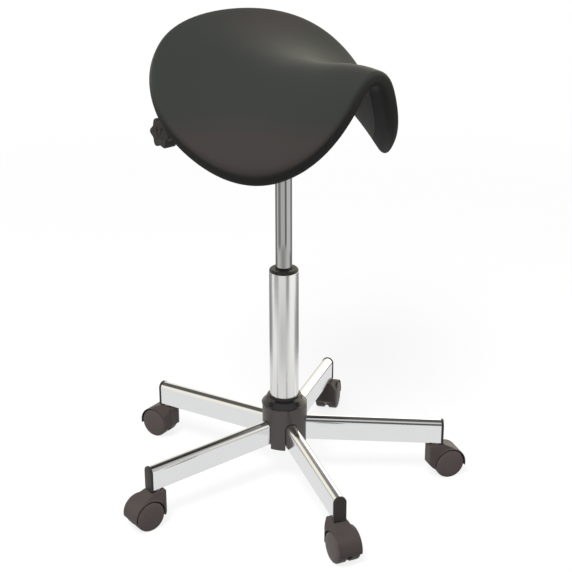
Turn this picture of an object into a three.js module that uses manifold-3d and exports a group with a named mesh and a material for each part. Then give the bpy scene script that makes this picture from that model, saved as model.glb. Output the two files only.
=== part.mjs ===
// A saddle stool: a padded saddle seat that tilts on a clamped bracket, carried by a
// gas lift column on a five-legged base with hooded twin-wheel castors.
// Millimetres, +Z up. The stool is drawn about the column's axis and moved, at the end, so
// that the origin is on the floor under the middle of its bounding box.
import * as THREE from 'three';
import { mergeVertices } from 'three/addons/utils/BufferGeometryUtils.js';
import Module from 'manifold-3d';

const wasm = await Module();
wasm.setup();

// Clearances and facets
const seatGap = 0.3;          // between pieces that seat on each other
const runGap = 0.8;           // between pieces that pass each other as they move
const overrun = 2;            // how far a cutter runs past what it cuts
const roundFacets = 24;
const smallFacets = 16;
const stemFacets = 12;
const cornerSteps = 4;        // facets in a rounded corner
const hexSides = 6;
const panelSteps = 6;         // facets across one panel of the hub cover
const lobeSteps = 6;          // facets round one lobe of the knob
const weldTolerance = 1e-4;   // vertices this close are one

// Base
const legCount = 5;
const firstLegTurn = -71.6;   // degrees about Z from +X
const legWidth = 20;
const legHeight = 42;
const legWall = 1.5;
const legFall = 2.7;          // degrees, down towards the tip
const legTip = 275;           // radius where the tube ends
const stemInset = 9;          // castor stem's axis from the tube's end
const sleeveWall = 1.6;
const sleeveHeight = 27;
const capFace = 4;
const capLip = 1;
const capPlug = 8;

// Hub
const socketRadius = 30;
const socketDrop = 4;         // below the legs
const socketRise = 3;         // above the legs
const coverRadius = 39.5;
const coverPanelDip = 1.2;    // how much flatter each panel is at its middle
const coverWall = 2.4;
const coverRise = 27;         // side wall above the legs
const collarRise = 16;        // collar above the side wall
const collarStep = 5;
const collarRim = 7;

// Column tube and gas spring
const stroke = 200;
const tubeRadius = 25;
const tubeWall = 2;
const tubeTaper = 1;          // less radius at the foot
const tubeFloor = 4;
const tubeDrop = 7.6;         // foot below the hub socket
const bushLength = 85;
const bushFlange = 4.5;
const cylinderRadius = 14;
const cylinderWall = 1.5;
const cylinderSeal = 30;      // guide and seal at the cylinder's open end
const cylinderReserve = 83;   // bore past the piston when fully lowered
const coneLength = 53;
const coneTaper = 1.3;
const rodRadius = 5;
const rodFootRadius = 4;
const pistonLength = 12;
const pistonRest = 3;         // above the seal at full height
const raceThickness = 2.6;
const raceRadius = 14;
const ballRadius = 2;
const ballCount = 8;
const cageThickness = 1.6;
const bumpLength = 17.7;
const bumpRadius = 11.5;
const bumpGap = 2;
const bushCover = 5;          // cylinder below the bush at full height
const clipThickness = 1.5;
const clipRadius = 8.5;
const clipGroove = 0.9;
const pinRadius = 3;
const pinLength = 22;
const pinStand = 5;           // pin above the cylinder's top
const pinTravel = 3.5;

// Tilt bracket and seat plate, in the seat's own turned frame
const seatTurn = -47;         // degrees about Z: the way the pommel points
const lowGap = 39.5;          // bush to bracket when fully lowered
const socketLength = 50;
const socketWall = 4.2;
const bracketSheet = 3;
const bracketHalf = 36;
const bracketFloorRise = 26;
const bracketHeight = 68;
const bracketCorner = 7;
const pivotForward = 46;
const pivotRise = 52;
const pivotRadius = 5;
const pivotHead = 3;
const pivotHeadRadius = 8.5;
const clampBack = 85;
const clampRise = 11;
const clampRadius = 4;
const earRadius = 13;
const rearMargin = 19;
const rearFall = 16;          // how far the bracket's top edge drops at the rear
const frontSlope = 30;        // where the bracket's floor starts to fall
const tiltDown = 2;           // degrees, rear end down
const tiltUp = 8;             // degrees, rear end up
const slotSlack = 0.5;        // degrees of slot past each end of the tilt
const slotFoot = 12;
const plateRise = 73.5;
const plateSheet = 3;
const plateSkirt = 5;
const plateCorner = 10;
const plateFront = 61;
const plateRear = 102;
const screwForward = 44;
const screwBack = 50;
const screwInset = 12;        // screws from the bracket's outer face
const screwRadius = 3;
const screwHead = 3.5;
const screwHeadRadius = 5.2;
const screwReach = 8;
const bossRadius = 7;

// Clamp and release lever
const boltHead = 5.3;
const boltHeadRadius = 7.5;
const sleeveRadius = 7;
const knobReach = 164;        // bracket's middle to the knob's inner face
const knobNeck = 7;
const knobNeckRadius = 12;
const knobDepth = 23;
const knobRadius = 22.5;
const knobLobe = 2.6;
const knobLobes = 6;
const knobEdge = 3;
const leverRadius = 4;
const leverPast = 8;          // past the valve pin
const leverStraight = 50;
const leverDrop = 70;
const leverOut = 96;
const leverEnd = 138;
const leverBend = 9;
const gripWidth = 22;
const gripThickness = 13;
const gripEdge = 3;

// Saddle
const seatRise = 104;         // middle of the seat's spine above the bracket socket
const seatLength = 339;
const seatForward = 20.5;
const seatWidth = 439;        // round the bend, edge to edge
const seatThickness = 27.2;
const cantleRise = 54.8;
const cantleRoll = 2.8;
const pommelRise = 27.2;
const noseFall = 14.4;
const valleyShare = -0.015;
const widestShare = -0.078;
const noseShare = 0.567;
const cantleShare = -0.6;
const rearRoundness = 2.46;
const frontRoundness = 2.59;
const bendAngles = [1.5, 36.9, 54.3, 62.5];   // degrees at the rear, middle, half way and front
const bendAngleShares = [-1, 0, 1 / 2, 1];    // where along the spine those angles are
const bendRuns = [219, 111, 47.5];            // from the spine to the full bend
const bendRunShares = [-1, 0, 1];
const shellThickness = 8;
const shellShare = 0.9;
const seatSectors = 56;
const padRingShares = [0.22, 0.42, 0.6, 0.76, 0.9];
const shellRingShares = [0.2, 0.38, 0.56, 0.74];
const rimSteps = 6;
const bendSteps = 24;

// Castors
const wheelRadius = 26.5;
const wheelFacets = 20;
const wheelInner = 4.6;
const wheelWidth = 15;
const wheelDome = 2.8;
const wheelRim = 3.2;
const wheelWeb = 3;
const wheelCrownShares = [2 / 3, 3 / 4];   // of the rim's radius and of the dome
const axleRadius = 3;
const axleReach = 17;
const castorTrail = 22;
const castorTurns = [6, 18, 5, 1, 1];         // degrees from each leg's own direction
const hoodTop = 63.5;
const hoodHalf = 20.6;
const hoodWall = 1.6;
const hoodShade = 1.2;        // gap round the wheel
const hoodWeb = 4;
const hoodFront = 14;
const hoodCorner = 13;
const hoodNeck = 13;
const hoodShoulder = 46;
const hoodSkirt = 26;
const hoodTail = 21;
const hoodKeel = 9;
const hoodKeelShare = 0.6;
const stemRadius = 5.5;
const stemUp = 22;
const stemDown = 14;
const collarRadius = 8.8;
const collarThickness = 2;

// Places and heights worked out from the sizes above
const stemCircle = legTip - stemInset;
const screwSide = bracketHalf - screwInset;
const legFallTan = Math.tan(THREE.MathUtils.degToRad(legFall));
const legUnderAtStem = hoodTop + seatGap + collarThickness + seatGap + collarRadius * legFallTan;
const legUnder = (radius) => legUnderAtStem + (stemCircle - radius) * legFallTan;
const socketBottom = legUnder(socketRadius) - socketDrop;
const socketTop = legUnder(socketRadius) + legHeight + socketRise;
const coverShoulder = legUnder(socketRadius) + legHeight + coverRise;
const coverTop = coverShoulder + collarRise;
const tubeBottom = socketBottom - tubeDrop;
const bearingFoot = tubeBottom + tubeFloor + seatGap;
const upperRaceFoot = bearingFoot + raceThickness + seatGap + 2 * ballRadius + seatGap;
const bumpFoot = upperRaceFoot + raceThickness + seatGap;
const cylinderFoot = bumpFoot + bumpLength + bumpGap + stroke;
const tubeTop = cylinderFoot + bushCover + bushLength;
const bracketFoot = tubeTop + bushFlange + lowGap + stroke;
const cylinderTop = bracketFoot + coneLength - overrun;
const pinTop = cylinderTop + pinStand;
const bracketFloor = bracketFoot + bracketFloorRise;
const bracketTop = bracketFoot + bracketHeight;
const pivotZ = bracketFoot + pivotRise;
const clampZ = bracketFoot + clampRise;
const plateFoot = bracketFoot + plateRise;
const plateTop = plateFoot + plateSheet;
const leverZ = pinTop + seatGap + leverRadius;
const spineZ = bracketFoot + seatRise;

// Geometry tools

const radians = (degrees) => THREE.MathUtils.degToRad(degrees);

function closedGeometry(geometry) {
  const bare = geometry.clone();
  for (const name of Object.keys(bare.attributes)) {
    if (name !== 'position') {
      bare.deleteAttribute(name);
    }
  }
  bare.clearGroups();
  const merged = mergeVertices(bare, weldTolerance);
  const index = merged.index.array;
  const place = merged.attributes.position;
  const kept = [];
  let volume = 0;
  const a = new THREE.Vector3();
  const b = new THREE.Vector3();
  const c = new THREE.Vector3();
  for (let i = 0; i < index.length; i += 3) {
    const [p, q, r] = [index[i], index[i + 1], index[i + 2]];
    if (p === q || q === r || r === p) {
      continue;
    }
    kept.push(p, q, r);
    a.fromBufferAttribute(place, p);
    b.fromBufferAttribute(place, q);
    c.fromBufferAttribute(place, r);
    volume += a.dot(b.cross(c));
  }
  if (volume < 0) {
    for (let i = 0; i < kept.length; i += 3) {
      [kept[i + 1], kept[i + 2]] = [kept[i + 2], kept[i + 1]];
    }
  }
  merged.setIndex(kept);
  return merged;
}

function toSolid(geometry) {
  const closed = closedGeometry(geometry);
  return new wasm.Manifold(new wasm.Mesh({
    numProp: 3,
    vertProperties: new Float32Array(closed.attributes.position.array),
    triVerts: new Uint32Array(closed.index.array),
  }));
}

function toGeometry(solid) {
  const mesh = solid.getMesh();
  const geometry = new THREE.BufferGeometry();
  const place = new Float32Array(mesh.numVert * 3);
  for (let i = 0; i < mesh.numVert; i += 1) {
    for (let k = 0; k < 3; k += 1) {
      place[3 * i + k] = mesh.vertProperties[mesh.numProp * i + k];
    }
  }
  geometry.setAttribute('position', new THREE.BufferAttribute(place, 3));
  geometry.setIndex(Array.from(mesh.triVerts));
  return geometry;
}

function join(...geometries) {
  return toGeometry(geometries.map(toSolid).reduce((whole, piece) => whole.add(piece)));
}

function cut(geometry, ...tools) {
  return toGeometry(tools.map(toSolid).reduce((whole, tool) => whole.subtract(tool), toSolid(geometry)));
}

// A turned piece about Z. Each profile point is [radius, height].
function turned(profile, facets = roundFacets) {
  const points = profile.map(([radius, height]) => new THREE.Vector2(radius, height));
  const onAxis = profile[0][0] === 0 && profile[profile.length - 1][0] === 0;
  if (!onAxis) {
    points.push(points[0].clone());
  }
  const lathe = new THREE.LatheGeometry(points, facets, Math.PI / facets);
  lathe.rotateX(Math.PI / 2);
  return closedGeometry(lathe);
}

function ring(inner, outer, bottom, top, facets = roundFacets) {
  return turned([[inner, bottom], [outer, bottom], [outer, top], [inner, top]], facets);
}

function rod(radius, bottom, top, facets = smallFacets) {
  return turned([[0, bottom], [radius, bottom], [radius, top], [0, top]], facets);
}

// Stands an outline drawn in X and Z upright and spans it along Y, centred.
function across(shape, width, options = {}) {
  const { bevel = 0, curves = cornerSteps } = options;
  const geometry = new THREE.ExtrudeGeometry(shape, {
    depth: width - 2 * bevel,
    bevelEnabled: bevel > 0,
    bevelSize: bevel,
    bevelThickness: bevel,
    bevelOffset: -bevel,
    bevelSegments: 2,
    curveSegments: curves,
  });
  geometry.translate(0, 0, bevel - width / 2);
  geometry.rotateX(Math.PI / 2);
  return geometry;
}

// A round bar or bore along Y.
function barAcross(radius, from, to, facets = smallFacets) {
  const bar = rod(radius, Math.min(from, to), Math.max(from, to), facets);
  bar.rotateX(-Math.PI / 2);
  return bar;
}

// A closed outline with its corners rounded.
function roundedShape(points, radius) {
  const shape = new THREE.Shape();
  points.forEach(([x, y], i) => {
    const before = points[(i + points.length - 1) % points.length];
    const after = points[(i + 1) % points.length];
    const corner = new THREE.Vector2(x, y);
    const from = new THREE.Vector2(...before).sub(corner);
    const to = new THREE.Vector2(...after).sub(corner);
    const reach = Math.min(radius, from.length() / 2, to.length() / 2);
    const start = corner.clone().add(from.setLength(reach));
    const end = corner.clone().add(to.setLength(reach));
    if (i === 0) {
      shape.moveTo(start.x, start.y);
    } else {
      shape.lineTo(start.x, start.y);
    }
    shape.quadraticCurveTo(x, y, end.x, end.y);
  });
  shape.closePath();
  return shape;
}

function box(size, middle) {
  const geometry = new THREE.BoxGeometry(...size);
  geometry.translate(...middle);
  return geometry;
}

function circleHole(shape, x, y, radius) {
  const points = [];
  for (let i = 0; i < smallFacets; i += 1) {
    const turn = ((i + 1 / 2) * 2 * Math.PI) / smallFacets;
    points.push(new THREE.Vector2(x + radius * Math.cos(turn), y - radius * Math.sin(turn)));
  }
  shape.holes.push(new THREE.Path(points));
}

// Materials

const paint = (color, roughness, metalness) => (
  new THREE.MeshStandardMaterial({ color, roughness, metalness })
);
const chrome = paint(0xe6e8ea, 0.08, 1);
const satinSteel = paint(0xc4c6c8, 0.32, 1);
const darkSteel = paint(0x55565a, 0.5, 0.9);
const blackPlastic = paint(0x1c1c1d, 0.3, 0);
const castorPlastic = paint(0x4a4341, 0.5, 0);
const padSkin = paint(0x3f403e, 0.62, 0);
const shellPlastic = paint(0x242424, 0.7, 0);
const rubber = paint(0x161616, 0.85, 0);

function piece(name, geometry, material) {
  geometry.computeVertexNormals();
  const mesh = new THREE.Mesh(geometry, material);
  mesh.name = name;
  return mesh;
}

// Base

// The leg tube's outline: flat below, round on top, drawn in Y and Z from its underside.
function legOutline(grow, Kind = THREE.Shape) {
  const half = legWidth / 2 + grow;
  const arcZ = legHeight - legWidth / 2;
  const outline = new Kind();
  outline.moveTo(-half, -grow);
  outline.lineTo(half, -grow);
  outline.lineTo(half, arcZ);
  outline.absarc(0, arcZ, half, 0, Math.PI, false);
  outline.closePath();
  return outline;
}

// Runs a leg outline along +X between two radii, falling with the leg.
function alongLeg(shape, from, to) {
  const geometry = new THREE.ExtrudeGeometry(shape, {
    depth: to - from,
    bevelEnabled: false,
    curveSegments: cornerSteps + 1,
  });
  const lay = new THREE.Matrix4().set(
    0, 0, 1, from,
    1, 0, 0, 0,
    0, 1, -legFallTan, legUnder(from),
    0, 0, 0, 1,
  );
  geometry.applyMatrix4(lay);
  return geometry;
}

function legGeometry() {
  const outline = legOutline(0);
  outline.holes.push(legOutline(-legWall, THREE.Path));
  const tube = alongLeg(outline, socketRadius - overrun, legTip);
  const bore = stemRadius + seatGap;
  const under = legUnder(stemCircle);
  const sleeve = rod(bore + sleeveWall, under + legWall / 2, under + sleeveHeight, stemFacets);
  sleeve.translate(stemCircle, 0, 0);
  const stemBore = rod(bore, under - legHeight, under + stemUp + seatGap, stemFacets);
  stemBore.translate(stemCircle, 0, 0);
  const cope = rod(socketRadius + seatGap, socketBottom - overrun, socketTop + overrun, roundFacets);
  return cut(join(tube, sleeve), stemBore, cope);
}

function endCapGeometry() {
  const face = alongLeg(legOutline(capLip), legTip + seatGap, legTip + seatGap + capFace);
  const plug = alongLeg(legOutline(-legWall - seatGap), legTip - capPlug, legTip + capFace / 2);
  const room = rod(stemRadius + 2 * seatGap + sleeveWall, 0, legUnderAtStem + legHeight, stemFacets);
  room.translate(stemCircle, 0, 0);
  return cut(join(face, plug), room);
}

const stemGeometry = () => turned([
  [0, hoodTop - stemDown],
  [stemRadius, hoodTop - stemDown],
  [stemRadius, hoodTop + seatGap],
  [collarRadius, hoodTop + seatGap],
  [collarRadius, hoodTop + seatGap + collarThickness],
  [stemRadius, hoodTop + seatGap + collarThickness],
  [stemRadius, legUnderAtStem + stemUp],
  [0, legUnderAtStem + stemUp],
], stemFacets);

const tubeRadiusAt = (z) => tubeRadius - tubeTaper * THREE.MathUtils.clamp(
  (socketTop - z) / (socketTop - tubeBottom), 0, 1,
);

const hubSocketGeometry = () => turned([
  [tubeRadiusAt(socketBottom) + seatGap, socketBottom],
  [socketRadius, socketBottom],
  [socketRadius, socketTop],
  [tubeRadiusAt(socketTop) + seatGap, socketTop],
]);

// The cover's side has one panel between each two legs, a little flatter at its middle.
function coverOutline(inset) {
  const points = [];
  for (let i = 0; i < legCount * panelSteps; i += 1) {
    const turn = (2 * Math.PI * i) / (legCount * panelSteps);
    const dip = coverPanelDip * Math.sin((legCount * turn) / 2) ** 2;
    const reach = coverRadius - inset - dip;
    points.push(new THREE.Vector2(reach * Math.cos(turn), reach * Math.sin(turn)));
  }
  return new THREE.Shape(points);
}

function hubCoverGeometry() {
  const side = new THREE.ExtrudeGeometry(coverOutline(0), {
    depth: coverShoulder - socketBottom,
    bevelEnabled: false,
  });
  side.translate(0, 0, socketBottom);
  const inside = new THREE.ExtrudeGeometry(coverOutline(coverWall), {
    depth: coverShoulder - coverWall - socketBottom + overrun,
    bevelEnabled: false,
  });
  inside.translate(0, 0, socketBottom - overrun);
  const neck = tubeRadius + collarStep;
  const rim = coverRadius - collarRim / 2;
  const stepZ = coverShoulder + collarRise / 2;
  const collar = turned([
    [0, coverShoulder - coverWall],
    [coverRadius - coverPanelDip, coverShoulder - coverWall],
    [coverRadius, coverShoulder],
    [coverRadius, coverShoulder + collarRim / 2],
    [rim, stepZ],
    [neck, stepZ + collarStep / 2],
    [neck, coverTop - collarStep / 2],
    [neck - collarStep / 2, coverTop],
    [0, coverTop],
  ], legCount * panelSteps);
  const hole = rod(tubeRadius + seatGap, socketBottom, coverTop + overrun, roundFacets);
  const legRoom = [];
  for (let i = 0; i < legCount; i += 1) {
    const room = alongLeg(legOutline(runGap), socketRadius - overrun, 2 * coverRadius);
    const low = room.clone();
    low.translate(0, 0, -legHeight / 2);
    const turn = (2 * Math.PI * i) / legCount;
    legRoom.push(room.rotateZ(turn), low.rotateZ(turn));
  }
  return cut(join(cut(side, inside), collar), hole, ...legRoom);
}

const columnTubeGeometry = () => turned([
  [rodFootRadius + runGap, tubeBottom],
  [tubeRadiusAt(tubeBottom), tubeBottom],
  [tubeRadius, socketTop],
  [tubeRadius, tubeTop],
  [tubeRadius - tubeWall, tubeTop],
  [tubeRadius - tubeWall, socketTop],
  [tubeRadiusAt(tubeBottom) - tubeWall, tubeBottom + tubeFloor],
  [rodFootRadius + runGap, tubeBottom + tubeFloor],
]);

const guideBushGeometry = () => turned([
  [cylinderRadius + seatGap, tubeTop - bushLength],
  [tubeRadius - tubeWall - seatGap, tubeTop - bushLength],
  [tubeRadius - tubeWall - seatGap, tubeTop + seatGap],
  [tubeRadius - seatGap, tubeTop + seatGap],
  [tubeRadius - seatGap, tubeTop + bushFlange / 2],
  [tubeRadius - bushFlange / 2, tubeTop + bushFlange],
  [cylinderRadius + seatGap, tubeTop + bushFlange],
]);

// Gas spring

const lowerRaceGeometry = () => ring(
  rodFootRadius + runGap, raceRadius,
  bearingFoot, bearingFoot + raceThickness, smallFacets,
);

const upperRaceGeometry = () => ring(
  rodFootRadius + seatGap, raceRadius,
  upperRaceFoot, upperRaceFoot + raceThickness, smallFacets,
);

function ballCageGeometry() {
  const ballCircle = (raceRadius + rodRadius) / 2;
  const ballZ = bearingFoot + raceThickness + seatGap + ballRadius;
  const cage = ring(
    ballCircle - ballRadius, ballCircle + ballRadius,
    ballZ - cageThickness / 2, ballZ + cageThickness / 2, smallFacets,
  );
  const balls = [];
  for (let i = 0; i < ballCount; i += 1) {
    const turn = (2 * Math.PI * i) / ballCount;
    const ball = new THREE.SphereGeometry(ballRadius, stemFacets / 2, cornerSteps);
    ball.rotateX(Math.PI / 2);
    ball.translate(ballCircle * Math.cos(turn), ballCircle * Math.sin(turn), ballZ);
    balls.push(ball);
  }
  return join(cage, ...balls);
}

const pistonRodGeometry = () => {
  const clipTop = tubeBottom - seatGap;
  const groove = rodFootRadius - clipGroove;
  const seal = cylinderFoot + cylinderSeal;
  const piston = cylinderRadius - cylinderWall - seatGap;
  return turned([
    [0, clipTop - 2 * clipThickness - 2 * seatGap],
    [rodFootRadius, clipTop - 2 * clipThickness - 2 * seatGap],
    [rodFootRadius, clipTop - clipThickness - seatGap],
    [groove, clipTop - clipThickness - seatGap],
    [groove, clipTop + seatGap],
    [rodFootRadius, clipTop + seatGap],
    [rodFootRadius, bumpFoot - seatGap / 2],
    [rodRadius, bumpFoot - seatGap / 2],
    [rodRadius, seal + pistonRest],
    [piston, seal + pistonRest],
    [piston, seal + pistonRest + pistonLength],
    [0, seal + pistonRest + pistonLength],
  ], smallFacets);
};

const bumpStopGeometry = () => turned([
  [rodRadius + seatGap, bumpFoot + seatGap],
  [bumpRadius, bumpFoot + seatGap],
  [bumpRadius, bumpFoot + bumpLength / 2],
  [bumpRadius - rodRadius / 2, bumpFoot + bumpLength],
  [rodRadius + seatGap, bumpFoot + bumpLength],
], smallFacets);

function rodClipGeometry() {
  const inner = rodFootRadius - clipGroove + seatGap;
  const top = tubeBottom - seatGap;
  const whole = ring(inner, clipRadius, top - clipThickness, top, smallFacets);
  const mouth = box(
    [clipRadius, inner * 2, clipThickness + overrun],
    [clipRadius, 0, top - clipThickness / 2],
  );
  return cut(whole, mouth);
}

const coneRadiusAt = (z) => cylinderRadius - coneTaper * THREE.MathUtils.clamp(
  (z - bracketFoot + overrun) / coneLength, 0, 1,
);

const gasCylinderGeometry = () => {
  const bore = cylinderRadius - cylinderWall;
  const seal = cylinderFoot + cylinderSeal;
  const boreTop = seal + pistonRest + pistonLength + stroke + cylinderReserve;
  const rodHole = rodRadius + seatGap;
  const body = turned([
    [rodHole, cylinderFoot],
    [cylinderRadius - cylinderWall, cylinderFoot],
    [cylinderRadius, cylinderFoot + cylinderWall],
    [cylinderRadius, bracketFoot - overrun],
    [coneRadiusAt(cylinderTop), cylinderTop],
    [0, cylinderTop],
    [0, boreTop],
    [bore, boreTop],
    [bore, seal],
    [rodHole, seal],
  ], roundFacets);
  const pinBore = rod(pinRadius + seatGap, pinTop - pinLength - pinTravel - seatGap, pinTop);
  return cut(body, pinBore);
};

const valvePinGeometry = () => turned([
  [0, pinTop - pinLength],
  [pinRadius, pinTop - pinLength],
  [pinRadius, pinTop - pinRadius / 2],
  [pinRadius / 2, pinTop],
  [0, pinTop],
], smallFacets);

// Tilt bracket. X is forward, Y is to the sitter's left and Z is up in the seat's frame.

const slotRadius = Math.hypot(pivotForward + clampBack, pivotZ - clampZ);
const slotRest = Math.atan2(clampZ - pivotZ, -clampBack - pivotForward);

function tiltSlotShape() {
  const half = clampRadius + seatGap;
  const low = slotRest + radians(tiltDown + slotSlack);
  const high = slotRest - radians(tiltUp + slotSlack);
  const at = (angle) => [pivotForward + slotRadius * Math.cos(angle), pivotZ + slotRadius * Math.sin(angle)];
  const shape = new THREE.Shape();
  shape.absarc(pivotForward, pivotZ, slotRadius + half, high, low, false);
  shape.absarc(...at(low), half, low, low + Math.PI, false);
  shape.absarc(pivotForward, pivotZ, slotRadius - half, low, high, true);
  shape.absarc(...at(high), half, high + Math.PI, high + 2 * Math.PI, false);
  return shape;
}

// The bracket seen from the side. An inset outline runs out through the open top.
function bracketSide(inset) {
  const top = inset > 0 ? bracketTop + overrun : bracketTop;
  const front = pivotForward + earRadius - inset;
  const rear = -clampBack - rearMargin + inset;
  const floor = bracketFloor + inset;
  const slotDrop = slotRadius * Math.sin(radians(tiltDown + slotSlack));
  const rearFloor = clampZ - slotDrop - slotFoot + inset;
  return roundedShape([
    [front, top],
    [-clampBack + 2 * rearMargin, top],
    [rear, top - rearFall],
    [rear, rearFloor],
    [-clampBack + rearMargin, rearFloor],
    [-frontSlope, floor],
    [front, floor],
  ], inset > 0 ? bracketCorner - inset : bracketCorner);
}

function tiltBracketGeometry() {
  const outer = across(bracketSide(0), 2 * bracketHalf);
  const inner = across(bracketSide(bracketSheet), 2 * (bracketHalf - bracketSheet));
  const socketOuter = cylinderRadius + socketWall;
  const socket = rod(socketOuter, bracketFoot, bracketFoot + socketLength, roundFacets);
  const bore = turned([
    [0, bracketFoot - overrun],
    [coneRadiusAt(bracketFoot) + seatGap, bracketFoot - overrun],
    [coneRadiusAt(bracketFoot) + seatGap, bracketFoot],
    [coneRadiusAt(bracketFoot + socketLength) + seatGap, bracketFoot + socketLength],
    [coneRadiusAt(bracketFoot + socketLength) + seatGap, bracketFoot + socketLength + overrun],
    [0, bracketFoot + socketLength + overrun],
  ]);
  const slot = across(tiltSlotShape(), 2 * (bracketHalf + overrun));
  const pivotBore = barAcross(pivotRadius + seatGap, -bracketHalf - overrun, bracketHalf + overrun);
  pivotBore.translate(pivotForward, 0, pivotZ);
  const leverBore = barAcross(leverRadius + 2 * seatGap, -bracketHalf - overrun, -bracketHalf / 2);
  leverBore.translate(0, 0, leverZ);
  return cut(join(cut(outer, inner), socket), bore, slot, pivotBore, leverBore);
}

const flangeInner = bracketHalf + seatGap;
const flangeOuter = flangeInner + plateSheet;

function pivotPinGeometry() {
  const shank = barAcross(pivotRadius, -flangeOuter - seatGap - 2 * pivotHead, flangeOuter + seatGap);
  const head = barAcross(pivotHeadRadius, flangeOuter + seatGap, flangeOuter + seatGap + pivotHead);
  const groove = barAcross(
    pivotHeadRadius,
    -flangeOuter - seatGap,
    -flangeOuter - 2 * seatGap - pivotHead / 2,
  );
  const core = barAcross(pivotRadius - 2 * seatGap, -flangeOuter, -flangeOuter - pivotHead);
  const pin = join(cut(join(shank, head), groove), core);
  pin.translate(pivotForward, 0, pivotZ);
  return pin;
}

function pivotClipGeometry() {
  const inner = pivotRadius - seatGap;
  const disc = barAcross(pivotHeadRadius, -flangeOuter - seatGap, -flangeOuter - seatGap - pivotHead / 2);
  const hole = barAcross(inner, -flangeOuter + overrun, -flangeOuter - seatGap - pivotHead);
  const mouth = box(
    [2 * inner, pivotHead * 2, pivotHeadRadius],
    [0, -flangeOuter - pivotHead / 2, -pivotHeadRadius],
  );
  const clip = cut(disc, hole, mouth);
  clip.translate(pivotForward, 0, pivotZ);
  return clip;
}

// Seat body

const screwPlaces = [
  ['front_left', screwForward, screwSide],
  ['front_right', screwForward, -screwSide],
  ['rear_left', -screwBack, screwSide],
  ['rear_right', -screwBack, -screwSide],
];

// One side flange: an ear round the pivot, an ear round the clamp, and a low skirt between.
function flangeShape() {
  const top = plateFoot + plateSheet / 2;
  const skirt = plateFoot - plateSkirt;
  const shape = new THREE.Shape();
  shape.moveTo(-clampBack - earRadius, top);
  shape.lineTo(-clampBack - earRadius, clampZ);
  shape.absarc(-clampBack, clampZ, earRadius, Math.PI, 2 * Math.PI, false);
  shape.lineTo(-clampBack + earRadius, skirt);
  shape.lineTo(pivotForward - earRadius, skirt);
  shape.lineTo(pivotForward - earRadius, pivotZ);
  shape.absarc(pivotForward, pivotZ, earRadius, Math.PI, 2 * Math.PI, false);
  shape.lineTo(pivotForward + earRadius, top);
  shape.closePath();
  circleHole(shape, pivotForward, pivotZ, pivotRadius + seatGap);
  circleHole(shape, -clampBack, clampZ, clampRadius + seatGap);
  return shape;
}

function seatPlateGeometry() {
  const sheet = roundedShape([
    [-plateRear, -flangeOuter],
    [plateFront, -flangeOuter],
    [plateFront, flangeOuter],
    [-plateRear, flangeOuter],
  ], plateCorner);
  for (const [, x, y] of screwPlaces) {
    circleHole(sheet, x, y, screwRadius + seatGap);
  }
  const plate = new THREE.ExtrudeGeometry(sheet, {
    depth: plateSheet,
    bevelEnabled: false,
    curveSegments: cornerSteps,
  });
  plate.translate(0, 0, plateFoot);
  const flanges = [-1, 1].map((side) => {
    const flange = across(flangeShape(), plateSheet);
    flange.translate(0, side * (flangeInner + plateSheet / 2), 0);
    return flange;
  });
  return join(plate, ...flanges);
}

// The saddle is a bent sheet. Along the spine t runs from -1 at the rear to 1 at the front,
// and s is the distance from the spine, measured round the bend.

// The smooth curve that passes through a value at each station along the spine.
function throughStations(stations, values, t) {
  return values.reduce((sum, value, i) => sum + stations.reduce((term, station, k) => (
    k === i ? term : (term * (t - station)) / (stations[i] - station)
  ), value), 0);
}

const past = (value) => Math.max(0, value);

function spineHeight(t) {
  const back = past((valleyShare - t) / (1 + valleyShare));
  const front = past((t - valleyShare) / (1 - valleyShare));
  const nose = past((t - noseShare) / (1 - noseShare));
  const roll = past((cantleShare - t) / (1 + cantleShare));
  return spineZ + cantleRise * back ** 2 + pommelRise * front ** 2
    - noseFall * nose ** 2 - cantleRoll * roll ** 2;
}

function halfWidthAt(t) {
  const rear = THREE.MathUtils.clamp((widestShare - t) / (1 + widestShare), 0, 1);
  const front = THREE.MathUtils.clamp((t - widestShare) / (1 - widestShare), 0, 1);
  return (seatWidth / 2) * Math.sqrt(1 - rear ** rearRoundness) * Math.sqrt(1 - front ** frontRoundness);
}

function middlePoint(t, s) {
  const bend = radians(throughStations(bendAngleShares, bendAngles, t));
  const run = throughStations(bendRunShares, bendRuns, t);
  let side = 0;
  let drop = 0;
  const step = Math.abs(s) / bendSteps;
  for (let i = 0; i < bendSteps; i += 1) {
    const reached = Math.min(1, ((i + 1 / 2) * step) / run);
    const slope = bend * Math.sin((Math.PI / 2) * reached);
    side += Math.cos(slope) * step;
    drop += Math.sin(slope) * step;
  }
  return new THREE.Vector3(
    seatForward + (seatLength / 2) * t,
    Math.sign(s) * side,
    spineHeight(t) - drop,
  );
}

function sheetNormal(t, s) {
  const nudge = 1e-3;
  const along = middlePoint(t + nudge, s).sub(middlePoint(t - nudge, s));
  const reach = nudge * seatLength;
  const over = middlePoint(t, s + reach).sub(middlePoint(t, s - reach));
  return along.cross(over).normalize();
}

// The place on the sheet at a share of the way from its middle to its edge.
function sheetPlace(turn, share) {
  const t = -Math.cos(turn);
  const s = Math.sign(Math.sin(turn)) * halfWidthAt(t);
  return [widestShare + share * (t - widestShare), share * s];
}

function ringAt(share, offset) {
  const points = [];
  for (let i = 0; i < seatSectors; i += 1) {
    const [t, s] = sheetPlace(((i + 1 / 2) * 2 * Math.PI) / seatSectors, share);
    points.push(middlePoint(t, s).addScaledVector(sheetNormal(t, s), offset));
  }
  return points;
}

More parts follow.
